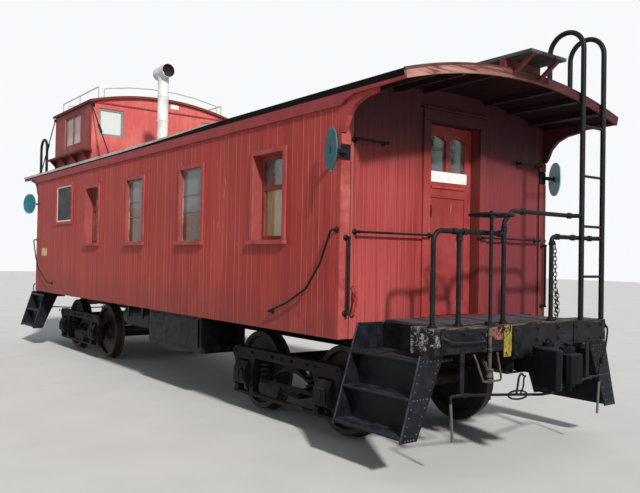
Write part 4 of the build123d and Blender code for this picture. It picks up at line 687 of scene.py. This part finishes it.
def board(bm, low, high, bevel, turn=1):
    """A board or plate with eased edges, between two corners; turn -1 puts it on the far end."""
    size = [high[i] - low[i] for i in range(3)]
    middle = Vector(turned(turn, [(high[i] + low[i]) / 2 for i in range(3)])[0])
    place = Matrix.Translation(middle) @ Matrix.Diagonal((*size, 1))
    verts = bmesh.ops.create_cube(bm, size=1, matrix=place)["verts"]
    edges = {edge for vert in verts for edge in vert.link_edges}
    bmesh.ops.bevel(bm, geom=list(edges), offset=min(bevel, min(size) * 0.3), segments=2,
                    affect="EDGES", profile=0.6)


def boards(name, key, bevel, boxes, body="car_body"):
    """One piece of boards that are each given as x0, x1, y0, y1, z0, z1."""
    bm = bmesh.new()
    for x0, x1, y0, y1, z0, z1 in boxes:
        board(bm, (x0, y0, z0), (x1, y1, z1), bevel)
    piece(name, bm, key, body)


def on_side(thick, *boxes):
    """Boards on the near side wall, each given as x0, x1, z0, z1."""
    return [(x0, x1, -SIDE - thick, -SIDE, z0, z1) for x0, x1, z0, z1 in boxes]


def lathe(bm, centre, axis, profile, count=14):
    """Turns (distance along, radius) pairs about an axis through centre."""
    spin = Vector(axis).normalized().to_track_quat("Z", "Y").to_matrix().to_4x4()
    place = Matrix.Translation(Vector(centre)) @ spin
    rings = []
    for along, radius in profile:
        angles = [tau * k / count for k in range(count)]
        ring = [Vector((radius * cos(a), radius * sin(a), along)) for a in angles]
        rings.append([bm.verts.new(place @ point) for point in ring])
    skin(bm, rings)


def bolt(bm, centre, axis, radius):
    """A washer, a six-sided nut and the domed end of its bolt."""
    face = 0.003
    washer = [(-0.002, radius * 1.5), (face, radius * 1.5), (0.004, radius * 1.4)]
    nut = [(face, radius), (face + radius * 0.75, radius), (face + radius * 0.85, radius * 0.85)]
    stud = [(0.004, radius * 0.5), (face + radius * 1.1, radius * 0.5),
            (face + radius * 1.3, radius * 0.28)]
    lathe(bm, centre, axis, washer)
    lathe(bm, centre, axis, nut, 6)
    lathe(bm, centre, axis, stud, 10)


def rivet(bm, centre, axis, radius):
    dome = [(-0.001, radius), (radius * 0.35, radius * 0.9), (radius * 0.65, radius * 0.6),
            (radius * 0.78, radius * 0.2)]
    lathe(bm, centre, axis, dome, 10)


def circle(bm, centre, u, v, radius, count):
    """A ring of points in the plane of u and v."""
    angles = [tau * k / count for k in range(count)]
    return [bm.verts.new(centre + radius * (u * cos(a) + v * sin(a))) for a in angles]


def bar(bm, points, radius, count=10):
    """A round bar through points, with rounded corners from a Catmull-Rom line."""
    line = []
    pts = [Vector(p) for p in points]
    pts = [pts[0] * 2 - pts[1]] + pts + [pts[-1] * 2 - pts[-2]]
    for i in range(1, len(pts) - 2):
        a, b, c, d = pts[i - 1:i + 3]
        for k in range(6):
            t = k / 6
            square, cube = (2 * a - 5 * b + 4 * c - d) * t * t, (3 * b - a - 3 * c + d) * t ** 3
            line.append(0.5 * (2 * b + (c - a) * t + square + cube))
    line.append(pts[-2])
    rings = []
    normal = (line[1] - line[0]).orthogonal().normalized()
    for i, point in enumerate(line):
        tangent = (line[min(i + 1, len(line) - 1)] - line[max(i - 1, 0)]).normalized()
        normal = (normal - tangent * normal.dot(tangent)).normalized()
        rings.append(circle(bm, point, normal, tangent.cross(normal), radius, count))
    skin(bm, rings)


def chain(bm, start, end, wire):
    """Links from start to end, each turned a quarter from the last."""
    pitch = 0.034
    start, end = Vector(start), Vector(end)
    count = max(2, round((end - start).length / pitch))
    along = (end - start).normalized()
    across = along.orthogonal().normalized()
    for i in range(count):
        centre = start + (end - start) * ((i + 0.5) / count)
        wide = across if i % 2 else along.cross(across)
        normal = along.cross(wide)
        rings = []
        for k in range(12):
            a = tau * k / 12
            point = centre + along * (sin(a) * pitch * 0.72) + wide * (cos(a) * pitch * 0.42)
            rings.append(circle(bm, point, (point - centre).normalized(), normal, wire, 6))
        skin(bm, rings, closed=True)


# Boards and mouldings on the end walls
bm = bmesh.new()
for turn in ENDS:
    for y0, y1 in ((-1.370, -1.262), (1.262, 1.370)):
        for z0, z1 in ((1.000, 2.474), (2.606, 2.695)):
            board(bm, (END, y0, z0), (END + 0.016, y1, z1), 0.003, turn)
piece("corner_boards", bm, "corner")
bm = bmesh.new()
for turn in ENDS:
    for y0, y1, z0, z1, thick, bevel in (
            (-0.425, -0.334, 1.149, 2.932, 0.020, 0.004), (0.334, 0.425, 1.149, 2.932, 0.020, 0.004),
            (-0.425, 0.425, 2.934, 3.035, 0.020, 0.004), (-0.440, 0.440, 3.037, 3.058, 0.034, 0.005),
            (-0.36, 0.36, 1.149, 1.153, 0.012, 0.001)):
        board(bm, (END, y0, z0), (END + thick, y1, z1), bevel, turn)
piece("door_casings", bm, "end_trim")
boards("cupola_trim", "fascia", 0.002,
       [(x, x + 0.014, -1.15, 1.15, 4.030, 4.052) for x in (CUPOLA_FRONT, CUPOLA_REAR - 0.014)])

# Blank sign and plates
boards("door_sign_blank", "white", 0.001, [(4.2605, 4.2665, -0.226, 0.256, 2.394, 2.494)], "front_door")
boards("door_strip", "trim", 0.003, [(4.2605, 4.2725, -0.22, 0.22, 2.336, 2.358)], "front_door")
boards("side_sign_blank", "sign", 0.001, [(-3.155, -2.465, -SIDE - 0.008, -SIDE - 0.0005, 2.200, 2.730)])
boards("side_sign_edge", "white", 0.002, on_side(
    0.012, (-3.165, -2.455, 2.732, 2.752), (-3.165, -2.455, 2.180, 2.200), (-3.175, -3.155, 2.180, 2.752),
    (-2.465, -2.445, 2.180, 2.752)))
boards("side_sign_frame", "trim", 0.004, on_side(
    0.022, (-3.23, -2.39, 2.755, 2.800), (-3.23, -2.39, 2.132, 2.177), (-3.23, -3.18, 2.177, 2.755),
    (-2.44, -2.39, 2.177, 2.755)))
bm = bmesh.new()
board(bm, (-4.02, -SIDE - 0.004, 1.62), (-3.73, -SIDE, 1.75), 0.001)
for x in (-3.99, -3.76):
    for z in (1.64, 1.73):
        rivet(bm, (x, -SIDE - 0.004, z), (0, -1, 0), 0.007)
piece("side_plate_blank", bm, "buff")
boards("cupola_plate_blank", "white", 0.001, [(-2.1245, -2.1205, 0.118, 0.262, 4.112, 4.185)])

# Storm panes near the wall face in the two middle windows of each side
frames, panes = bmesh.new(), bmesh.new()
for x in WINDOW_X:
    for side in SIDES:
        low, high = sorted((side * (SIDE - 0.018), side * (SIDE - 0.036)))
        x0, x1 = x - WINDOW_HALF, x + WINDOW_HALF
        left, right, foot, head = x0 + 0.013, x1 - 0.013, WINDOW_LOW + 0.016, WINDOW_TOP - 0.016
        for a0, a1, b0, b1 in ((x0, left, WINDOW_LOW, WINDOW_TOP), (right, x1, WINDOW_LOW, WINDOW_TOP),
                               (left, right, WINDOW_LOW, foot), (left, right, head, WINDOW_TOP)):
            board(frames, (a0, low, b0), (a1, high, b1), 0.002)
        middle = side * (SIDE - 0.025)
        for z in (2.345, 2.155):
            board(frames, (left, middle - 0.003, z - 0.003), (right, middle + 0.003, z + 0.003), 0.001)
        middle = side * (SIDE - 0.031)
        board(panes, (x0 + 0.012, middle - 0.0015, WINDOW_LOW + 0.015),
              (x1 - 0.012, middle + 0.0015, WINDOW_TOP - 0.015), 0.0003)
piece("storm_frames", frames, "storm_frame")
piece("storm_panes", panes, "storm")

# Plates, nuts, a yellow strip and a red patch on the end beams
plates, nuts = bmesh.new(), bmesh.new()
for turn in ENDS:
    for thick, y0, y1, z0, z1 in ((0.010, -1.06, -0.56, 0.952, 1.132), (0.012, -0.225, 0.430, 0.868, 1.140),
                                  (0.010, 0.62, 1.08, 0.955, 1.125)):
        board(plates, (BEAM_FACE, y0, z0), (BEAM_FACE + thick, y1, z1), 0.002, turn)
    for thick, ys, zs in ((0.009, (-1.02, -0.81, -0.60, 0.66, 0.85, 1.04), (0.985, 1.10)),
                          (0.011, (-0.185, 0.10, 0.39), (0.90, 1.01, 1.105))):
        for y in ys:
            for z in zs:
                bolt(nuts, (turn * (BEAM_FACE + thick), turn * y, z), (turn, 0, 0), 0.012)
piece("beam_plates", plates, "box")
piece("beam_nuts", nuts, "iron")
boards("beam_yellow_strip", "yellow", 0.001, [(BEAM_FACE, BEAM_FACE + 0.006, -0.332, -0.236, 0.892, 1.146)])
boards("beam_red_patch", "patch", 0.001, [(BEAM_FACE, BEAM_FACE + 0.004, -0.485, -0.345, 1.035, 1.138)])

# Brake staff below the beam with its stirrup, drum and chain, and a hand hold on the beam
STAFF = [(0.700, 0.010), (0.706, 0.0145), (1.128, 0.0145), (1.134, 0.010)]
DRUM = [(0.745, 0.016), (0.750, 0.034), (0.758, 0.034), (0.763, 0.024), (0.800, 0.024), (0.805, 0.034),
        (0.812, 0.034), (0.817, 0.016)]
STAFF_NUT = [(0.722, 0.016), (0.722, 0.022), (0.736, 0.022), (0.736, 0.016)]
STIRRUP = ((5.19, -0.665, 0.93), (5.215, -0.65, 0.86), (5.237, -0.615, 0.742), (5.237, -0.585, 0.718),
           (5.237, -0.45, 0.714), (5.237, -0.395, 0.722), (5.225, -0.385, 0.78), (5.19, -0.385, 0.93))
bm = bmesh.new()
for turn in ENDS:
    for profile, count in ((STAFF, 12), (DRUM, 14), (STAFF_NUT, 6)):
        lathe(bm, (turn * STAFF_X, turn * STAFF_Y, 0), UPRIGHT, profile, count)
    for z in (1.08, 0.96):
        board(bm, (BEAM_FACE, -0.575, z - 0.014), (BEAM_FACE + 0.008, -0.485, z + 0.014), 0.002, turn)
        collar = [(-0.014, 0.0155), (-0.014, 0.021), (0.014, 0.021), (0.014, 0.0155)]
        lathe(bm, (turn * STAFF_X, turn * STAFF_Y, z), UPRIGHT, collar, 12)
    bar(bm, turned(turn, *STIRRUP), 0.009, 8)
    chain(bm, *turned(turn, (5.215, -0.505, 0.781), (4.99, -0.33, 0.86)), 0.005)
piece("brake_staff_ends", bm, "rubbed_iron", smooth=True)
HOLD = ((5.222, -1.055, 1.078), (5.240, -1.035, 1.068), (5.262, -0.985, 1.046), (5.266, -0.90, 1.040),
        (5.266, -0.72, 1.037), (5.262, -0.635, 1.038), (5.240, -0.605, 1.044), (5.222, -0.600, 1.050))
bm = bmesh.new()
for turn in ENDS:
    bar(bm, turned(turn, *HOLD), 0.009, 8)
    for y, z in ((-1.055, 1.078), (-0.600, 1.050)):
        foot = [(0, 0.021), (0.006, 0.021), (0.012, 0.012)]
        lathe(bm, (turn * (BEAM_FACE + 0.010), turn * y, z), (turn, 0, 0), foot, 12)
piece("beam_hand_holds", bm, "worn_iron", smooth=True)
bm = bmesh.new()
for turn in ENDS:
    ring = []
    for k in range(13):
        a = tau * k / 12
        along, up = cos(a) * 0.088, sin(a) * 0.034
        ring.append((5.312 + along * 0.30, -0.275 + along * 0.95, 0.597 + up))
    bar(bm, turned(turn, *ring), 0.008, 8)
    bar(bm, turned(turn, (5.312, -0.290, 0.610), (5.306, -0.268, 0.665), (5.306, -0.252, 0.735),
                   (5.310, -0.226, 0.762), (5.316, -0.205, 0.745)), 0.009, 8)
    bar(bm, turned(turn, (5.322, -0.250, 0.610), (5.336, -0.236, 0.665), (5.338, -0.232, 0.725),
                   (5.334, -0.205, 0.748)), 0.007, 8)
piece("lifter_links", bm, "worn_iron", smooth=True)


def sleeve(bm, turn, y, z, axis, half=0.022, radius=0.0262):
    """A short sleeve with rolled ends round a pipe of the railing."""
    flat, rolled = radius - 0.001, radius + 0.002
    profile = [(-half, 0.0203), (-half, flat), (-half * 0.7, rolled), (-half * 0.5, flat),
               (half * 0.5, flat), (half * 0.7, rolled), (half, flat), (half, 0.0203)]
    lathe(bm, (turn * RAIL_X, turn * y, z), (turn * axis[0], turn * axis[1], axis[2]), profile, 16)


# Pipe fittings on the railings, feet of the hand irons
bm = bmesh.new()
for turn in ENDS:
    for y, z, axis in (
            (-0.707, RAIL_Z, ALONG_Y), (-0.817, RAIL_Z, ALONG_Y), (-0.762, RAIL_Z - 0.052, UPRIGHT),
            (-0.275, RAIL_Z, ALONG_Y), (-0.220, RAIL_Z - 0.052, UPRIGHT), (-0.220, RAIL_Z + 0.045, UPRIGHT),
            (0.02, HIGH_RAIL_Z, ALONG_Y), (0.690, HIGH_RAIL_Z, ALONG_Y), (0.515, RAIL_Z, ALONG_Y),
            (1.010, RAIL_Z, ALONG_Y), (0.745, RAIL_Z, ALONG_Y)):
        sleeve(bm, turn, y, z, axis)
    for y in POSTS:
        sleeve(bm, turn, y, 1.172, UPRIGHT, 0.012, 0.027)
        for k in range(4):
            a = tau * (k + 0.5) / 4
            x = RAIL_X + 0.030 * cos(a)
            rivet(bm, (turn * x, turn * (y + 0.030 * sin(a)), 1.161), UPRIGHT, 0.006)
piece("rail_fittings", bm, "iron", smooth=True)
FOOT = [(0.0, 0.026), (0.005, 0.026), (0.008, 0.020), (0.010, 0.0125), (0.020, 0.0125), (0.022, 0.0105)]
KNOB = [(-0.016, 0.008), (-0.011, 0.0135), (0.0, 0.0155), (0.011, 0.0135), (0.016, 0.008)]
SIDE_FOOT = [(0.0, 0.028), (0.005, 0.028), (0.008, 0.021), (0.010, 0.0125), (0.024, 0.0125),
             (0.026, 0.0105)]
bm = bmesh.new()
for turn, side in CORNERS:
    for y, z, thick in ((1.205, 1.887, 0.0), (0.345, 1.887, 0.020), (1.225, 2.655, 0.0),
                        (0.905, 2.655, 0.0), (1.310, 1.212, 0.016), (1.310, 1.835, 0.016)):
        lathe(bm, (turn * (END + thick), side * y, z), (turn, 0, 0), FOOT)
        lathe(bm, (turn * (END + 0.062), side * y, z), (turn, 0, 0), KNOB)
    out = turn * side
    for x, z in ((4.325, 1.900), (3.390, 1.165)):
        lathe(bm, (turn * x, out * SIDE, z), (0, out, 0), SIDE_FOOT)
        for dz in (-0.019, 0.019):
            rivet(bm, (turn * x, out * (SIDE + 0.005), z + dz), (0, out, 0), 0.004)
piece("hand_iron_feet", bm, "iron", smooth=True)

# Panels beside the platform, and rivets of the steps
bm = bmesh.new()
for turn, side in CORNERS:
    low, high = sorted((side * 0.8725, side * 0.8765))
    board(bm, (END + 0.013, low, 0.912), (5.138, high, 1.128), 0.001, turn)
    outline = [(0.8765, 1.128), (0.8795, 1.128), (0.978, 0.905), (0.8765, 0.905)]
    back, front = ([bm.verts.new((turn * x, turn * side * y, z)) for y, z in outline]
                   for x in (END + 0.001, END + 0.011))
    bm.faces.new(back[::-1])
    bm.faces.new(front)
    for k in range(4):
        bm.faces.new((back[k], back[(k + 1) % 4], front[(k + 1) % 4], front[k]))
piece("step_side_panels", bm, "steps")


def stringer_edge(z, top, bottom):
    """Way out from the middle of a stringer's slanted edge at a height."""
    return top + (1.130 - z) / 0.810 * (bottom - top)


def outer_edge(z):
    return stringer_edge(z, 1.157, 1.405)


def inner_edge(z):
    return stringer_edge(z, 0.878, 1.235)


bm = bmesh.new()
for turn, side in CORNERS:
    for z in [0.375 + 0.062 * k for k in range(9)]:
        for y in (outer_edge(z) - 0.030, inner_edge(z) + 0.032):
            rivet(bm, (turn * 5.153, side * y, z), (turn, 0, 0), 0.007)
    for z, count in ((0.338, 4), (0.623, 5), (0.902, 5)):
        inner, outer = inner_edge(z) + 0.045, outer_edge(z) - 0.045
        for k in range(count):
            y = inner + (outer - inner) * k / (count - 1)
            rivet(bm, (turn * 5.153, side * y, z), (turn, 0, 0), 0.007)
piece("step_rivets", bm, "rivet", smooth=True)

# Edges of the steps: worn rolled nosings, and the stringers' slanted flanges, whose paler iron is a painted
# highlight
nosings, flanges = bmesh.new(), bmesh.new()
for turn, side in CORNERS:
    for z in TREADS:
        y = outer_edge(z) - 0.004
        line = [(turn * x, side * y, z - 0.012) for x in (END + 0.014, 4.6, 4.9, STEP_X)]
        bar(nosings, line, 0.0135)
        low, high = sorted((side * (y - 0.018), side * (y - 0.060)))
        board(nosings, (END + 0.014, low, z), (STEP_X, high, z + 0.003), 0.001, turn)
    for x, top in ((5.147, 0.945), (END + 0.006, 1.128)):
        line = [(turn * x, side * (outer_edge(z) - 0.002), z) for z in (0.322, 0.5, 0.75, top)]
        bar(flanges, line, 0.0078, 8)
piece("tread_nosings", nosings, "steps", slot="tread_steel", smooth=True)
piece("stringer_flanges", flanges, "edge_iron", smooth=True)

# White paint spot on the front beam
bm = bmesh.new()
lathe(bm, (BEAM_FACE, -1.094, 1.063), (1, 0, 0), [(0.0, 0.031), (0.0012, 0.031), (0.0018, 0.029)], 8)
piece("beam_paint_spot", bm, "spot")

# Handle at the beam's end, hook and chains
HANDLE = ((5.195, 1.128, 1.085), (5.205, 1.165, 1.07), (5.20, 1.178, 1.00), (5.20, 1.135, 0.83),
          (5.19, 1.085, 0.72), (5.18, 1.075, 0.64), (5.15, 1.09, 0.61))
bm = bmesh.new()
for turn in ENDS:
    bar(bm, turned(turn, *HANDLE), 0.009)
    collar = [(0, 0.026), (0.008, 0.026), (0.010, 0.022)]
    lathe(bm, (turn * 5.195, turn * 1.127, 1.085), (0, turn, 0), collar, 12)
    knob = [(-0.03, 0.012), (-0.02, 0.024), (0.02, 0.024), (0.03, 0.012)]
    lathe(bm, (turn * 5.2, turn * 1.10, 0.765), UPRIGHT, knob, 10)
piece("beam_handles", bm, "iron")
bm = bmesh.new()
bar(bm, [(END + 0.018, -1.238, 1.43), (END + 0.05, -1.238, 1.435), (END + 0.055, -1.232, 1.40),
         (END + 0.045, -1.226, 1.385)], 0.006, 8)
chain(bm, (END + 0.048, -1.228, 1.40), (END + 0.042, -1.226, 1.24), 0.005)
chain(bm, (END + 0.052, -1.218, 1.38), (END + 0.038, -1.214, 1.26), 0.005)
bar(bm, [(END + 0.042, -1.226, 1.31), (END + 0.060, -1.250, 1.27), (END + 0.050, -1.252, 1.22),
         (END + 0.038, -1.222, 1.205), (END + 0.04, -1.20, 1.235)], 0.009, 8)
piece("corner_hook_chain", bm, "trim_up")
bm = bmesh.new()
for turn in ENDS:
    chain(bm, *turned(turn, (5.125, 0.462, 1.815), (5.135, 0.470, 1.165)), 0.004)
    chain(bm, *turned(turn, (5.140, 0.480, 1.42), (5.145, 0.485, 1.19)), 0.004)
    bar(bm, turned(turn, (5.11, 0.443, 1.845), (5.118, 0.462, 1.850), (5.126, 0.464, 1.820)), 0.006, 8)
    clip = [(-0.014, 0.0205), (-0.012, 0.026), (0.012, 0.026), (0.014, 0.0205)]
    lathe(bm, (turn * 5.11, turn * 0.430, 1.83), UPRIGHT, clip)
piece("gate_chains", bm, "iron")

# Lids, hinges and bolts of the journal boxes, and nuts on the truck frames
for truck, centre in TRUCKS:
    lids, nuts = bmesh.new(), bmesh.new()
    for x in (centre - HALF_WHEELBASE, centre + HALF_WHEELBASE):
        for side in SIDES:
            for half, near, far, z0, z1, bevel in ((0.088, 1.085, 1.097, 0.350, 0.462, 0.006),
                                                   (0.018, 1.097, 1.106, 0.365, 0.455, 0.004)):
                low, high = sorted((side * near, side * far))
                board(lids, (x - half, low, z0), (x + half, high, z1), bevel)
            hinge = [(0, 0.011), (0.002, 0.013), (0.118, 0.013), (0.12, 0.011)]
            lathe(lids, (x - 0.06, side * 1.084, 0.474), (1, 0, 0), hinge, 12)
            for dx, z, radius in ((-0.145, 0.30, 0.011), (-0.145, 0.40, 0.011), (0.145, 0.30, 0.011),
                                  (0.145, 0.40, 0.011), (-0.30, 0.655, 0.012), (-0.17, 0.655, 0.012),
                                  (0.17, 0.655, 0.012)):
                bolt(nuts, (x + dx, side * TRUCK_FACE, z), (0, side, 0), radius)
    for x in (centre - 0.17, centre, centre + 0.17):
        for side in SIDES:
            bolt(nuts, (x, side * TRUCK_FACE, 0.652), (0, side, 0), 0.014)
    piece(truck + "_box_lids", lids, "truck", truck)
    piece(truck + "_nuts", nuts, "truck", truck)

# Bands on the smoke jack and their rivets
bm = bmesh.new()
for z in (3.62, 3.98):
    band = [(0.0, JACK_RADIUS), (0.001, 0.0825), (0.019, 0.0825), (0.020, JACK_RADIUS)]
    lathe(bm, (JACK_X, JACK_Y, z), UPRIGHT, band, 40)
for z in (3.63, 3.99):
    for k in range(8):
        a = tau * k / 8
        out = (cos(a), sin(a), 0)
        rivet(bm, (JACK_X + 0.0825 * out[0], JACK_Y + 0.0825 * out[1], z), out, 0.006)
piece("jack_bands", bm, "jack")

# Curtain: cloth gathered on a string behind the lower sash
low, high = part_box("curtain")
middle_y, width, drop = (low.y + high.y) / 2, high.x - low.x, high.z - low.z
HEM, GATHER, FOLD_DEPTH = 0.016, 0.024, 0.0033  # room left in height and width, and half a fold's depth
columns, rows = 160, 40
bm = bmesh.new()
grid = []
for i in range(columns + 1):
    u = i / columns
    fold = 9.5 * u + 1.2 * sin(2.3 * u * pi)
    column = []
    for j in range(rows + 1):
        v = j / rows
        depth = FOLD_DEPTH * sin(tau * fold + 0.5 * sin(3 * v)) * (0.55 + 0.45 * v)
        sway = 0.004 * sin(tau * fold * 0.5 + 2 * v) * v
        x = low.x + GATHER / 2 + (width - GATHER) * u + sway
        column.append(bm.verts.new((x, middle_y + depth, high.z - 0.006 - (drop - HEM) * v)))
    grid.append(column)
for i in range(columns):
    for j in range(rows):
        bm.faces.new((grid[i][j], grid[i + 1][j], grid[i + 1][j + 1], grid[i][j + 1]))
curtain = piece("curtain_cloth", bm, "curtain", smooth=True)
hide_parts("curtain")

# Floor, light and camera
floor_mesh = bpy.data.meshes.new("floor")
floor_mesh.from_pydata([(-60, -60, 0), (60, -60, 0), (60, 60, 0), (-60, 60, 0)], [], [(0, 1, 2, 3)])
floor = placed("floor", floor_mesh)
s = Shader("floor_pale")
s.colour = s.mix(s.marks(0.3, 0.7, 1.5, 3, 0.5), (0.62, 0.62, 0.615, 1), (0.66, 0.66, 0.65, 1))
s.finish(0.85)
floor_mesh.materials.append(s.material)

# A soft bluish fill, and white where the camera, glass or a reflection looks past the object
world = bpy.data.worlds.new("studio")
scene.world = world
world.use_nodes = True
tree = world.node_tree
fill = tree.nodes["Background"]
white = tree.nodes.new("ShaderNodeBackground")
for node, colour, strength in ((fill, (0.86, 0.93, 1.0, 1), 0.33), (white, (0.93, 0.95, 0.97, 1), 1.0)):
    node.inputs["Color"].default_value = colour
    node.inputs["Strength"].default_value = strength
rays = tree.nodes.new("ShaderNodeLightPath")
seen = rays.outputs["Is Camera Ray"]
for kind in ("Is Glossy Ray", "Is Transmission Ray"):
    either = tree.nodes.new("ShaderNodeMath")
    either.operation = "MAXIMUM"
    tree.links.new(seen, either.inputs[0])
    tree.links.new(rays.outputs[kind], either.inputs[1])
    seen = either.outputs[0]
blend = tree.nodes.new("ShaderNodeMixShader")
for source, target in zip((seen, fill.outputs[0], white.outputs[0]), blend.inputs):
    tree.links.new(source, target)
tree.links.new(blend.outputs[0], tree.nodes["World Output"].inputs[0])

sun = bpy.data.lights.new("sun", "SUN")
sun.energy = 3.9
sun.angle = radians(4)
sun.color = (1.0, 0.97, 0.92)
lamp = placed("sun", sun)
height, turn = radians(33), radians(-17)
sun_from = Vector((cos(height) * cos(turn), cos(height) * sin(turn), sin(height)))
lamp.rotation_mode = "QUATERNION"
lamp.rotation_quaternion = sun_from.to_track_quat("Z", "Y")
lamp.location = sun_from * 20

# The camera that was fitted to the photograph
azimuth, pitch, roll = map(radians, (53.1794, 0.9739, 1.0817))
ahead = Vector((-sin(azimuth) * cos(pitch), cos(azimuth) * cos(pitch), sin(pitch)))
level = Vector((cos(azimuth), sin(azimuth), 0))
upward = level.cross(ahead)
right = level * cos(roll) + upward * sin(roll)
top = upward * cos(roll) - level * sin(roll)
camera_data = bpy.data.cameras.new("camera")
camera_data.sensor_width = 36.0
camera_data.lens = 36.0 * 719.587 / 640  # the fitted focal length is in pixels of a 640 wide picture
camera = placed("camera", camera_data)
facing = Matrix((right, top, -ahead)).transposed().to_4x4()
camera.matrix_world = Matrix.Translation((8.9806, -5.0268, 1.6575)) @ facing
scene.camera = camera
scene.view_settings.view_transform = "Standard"
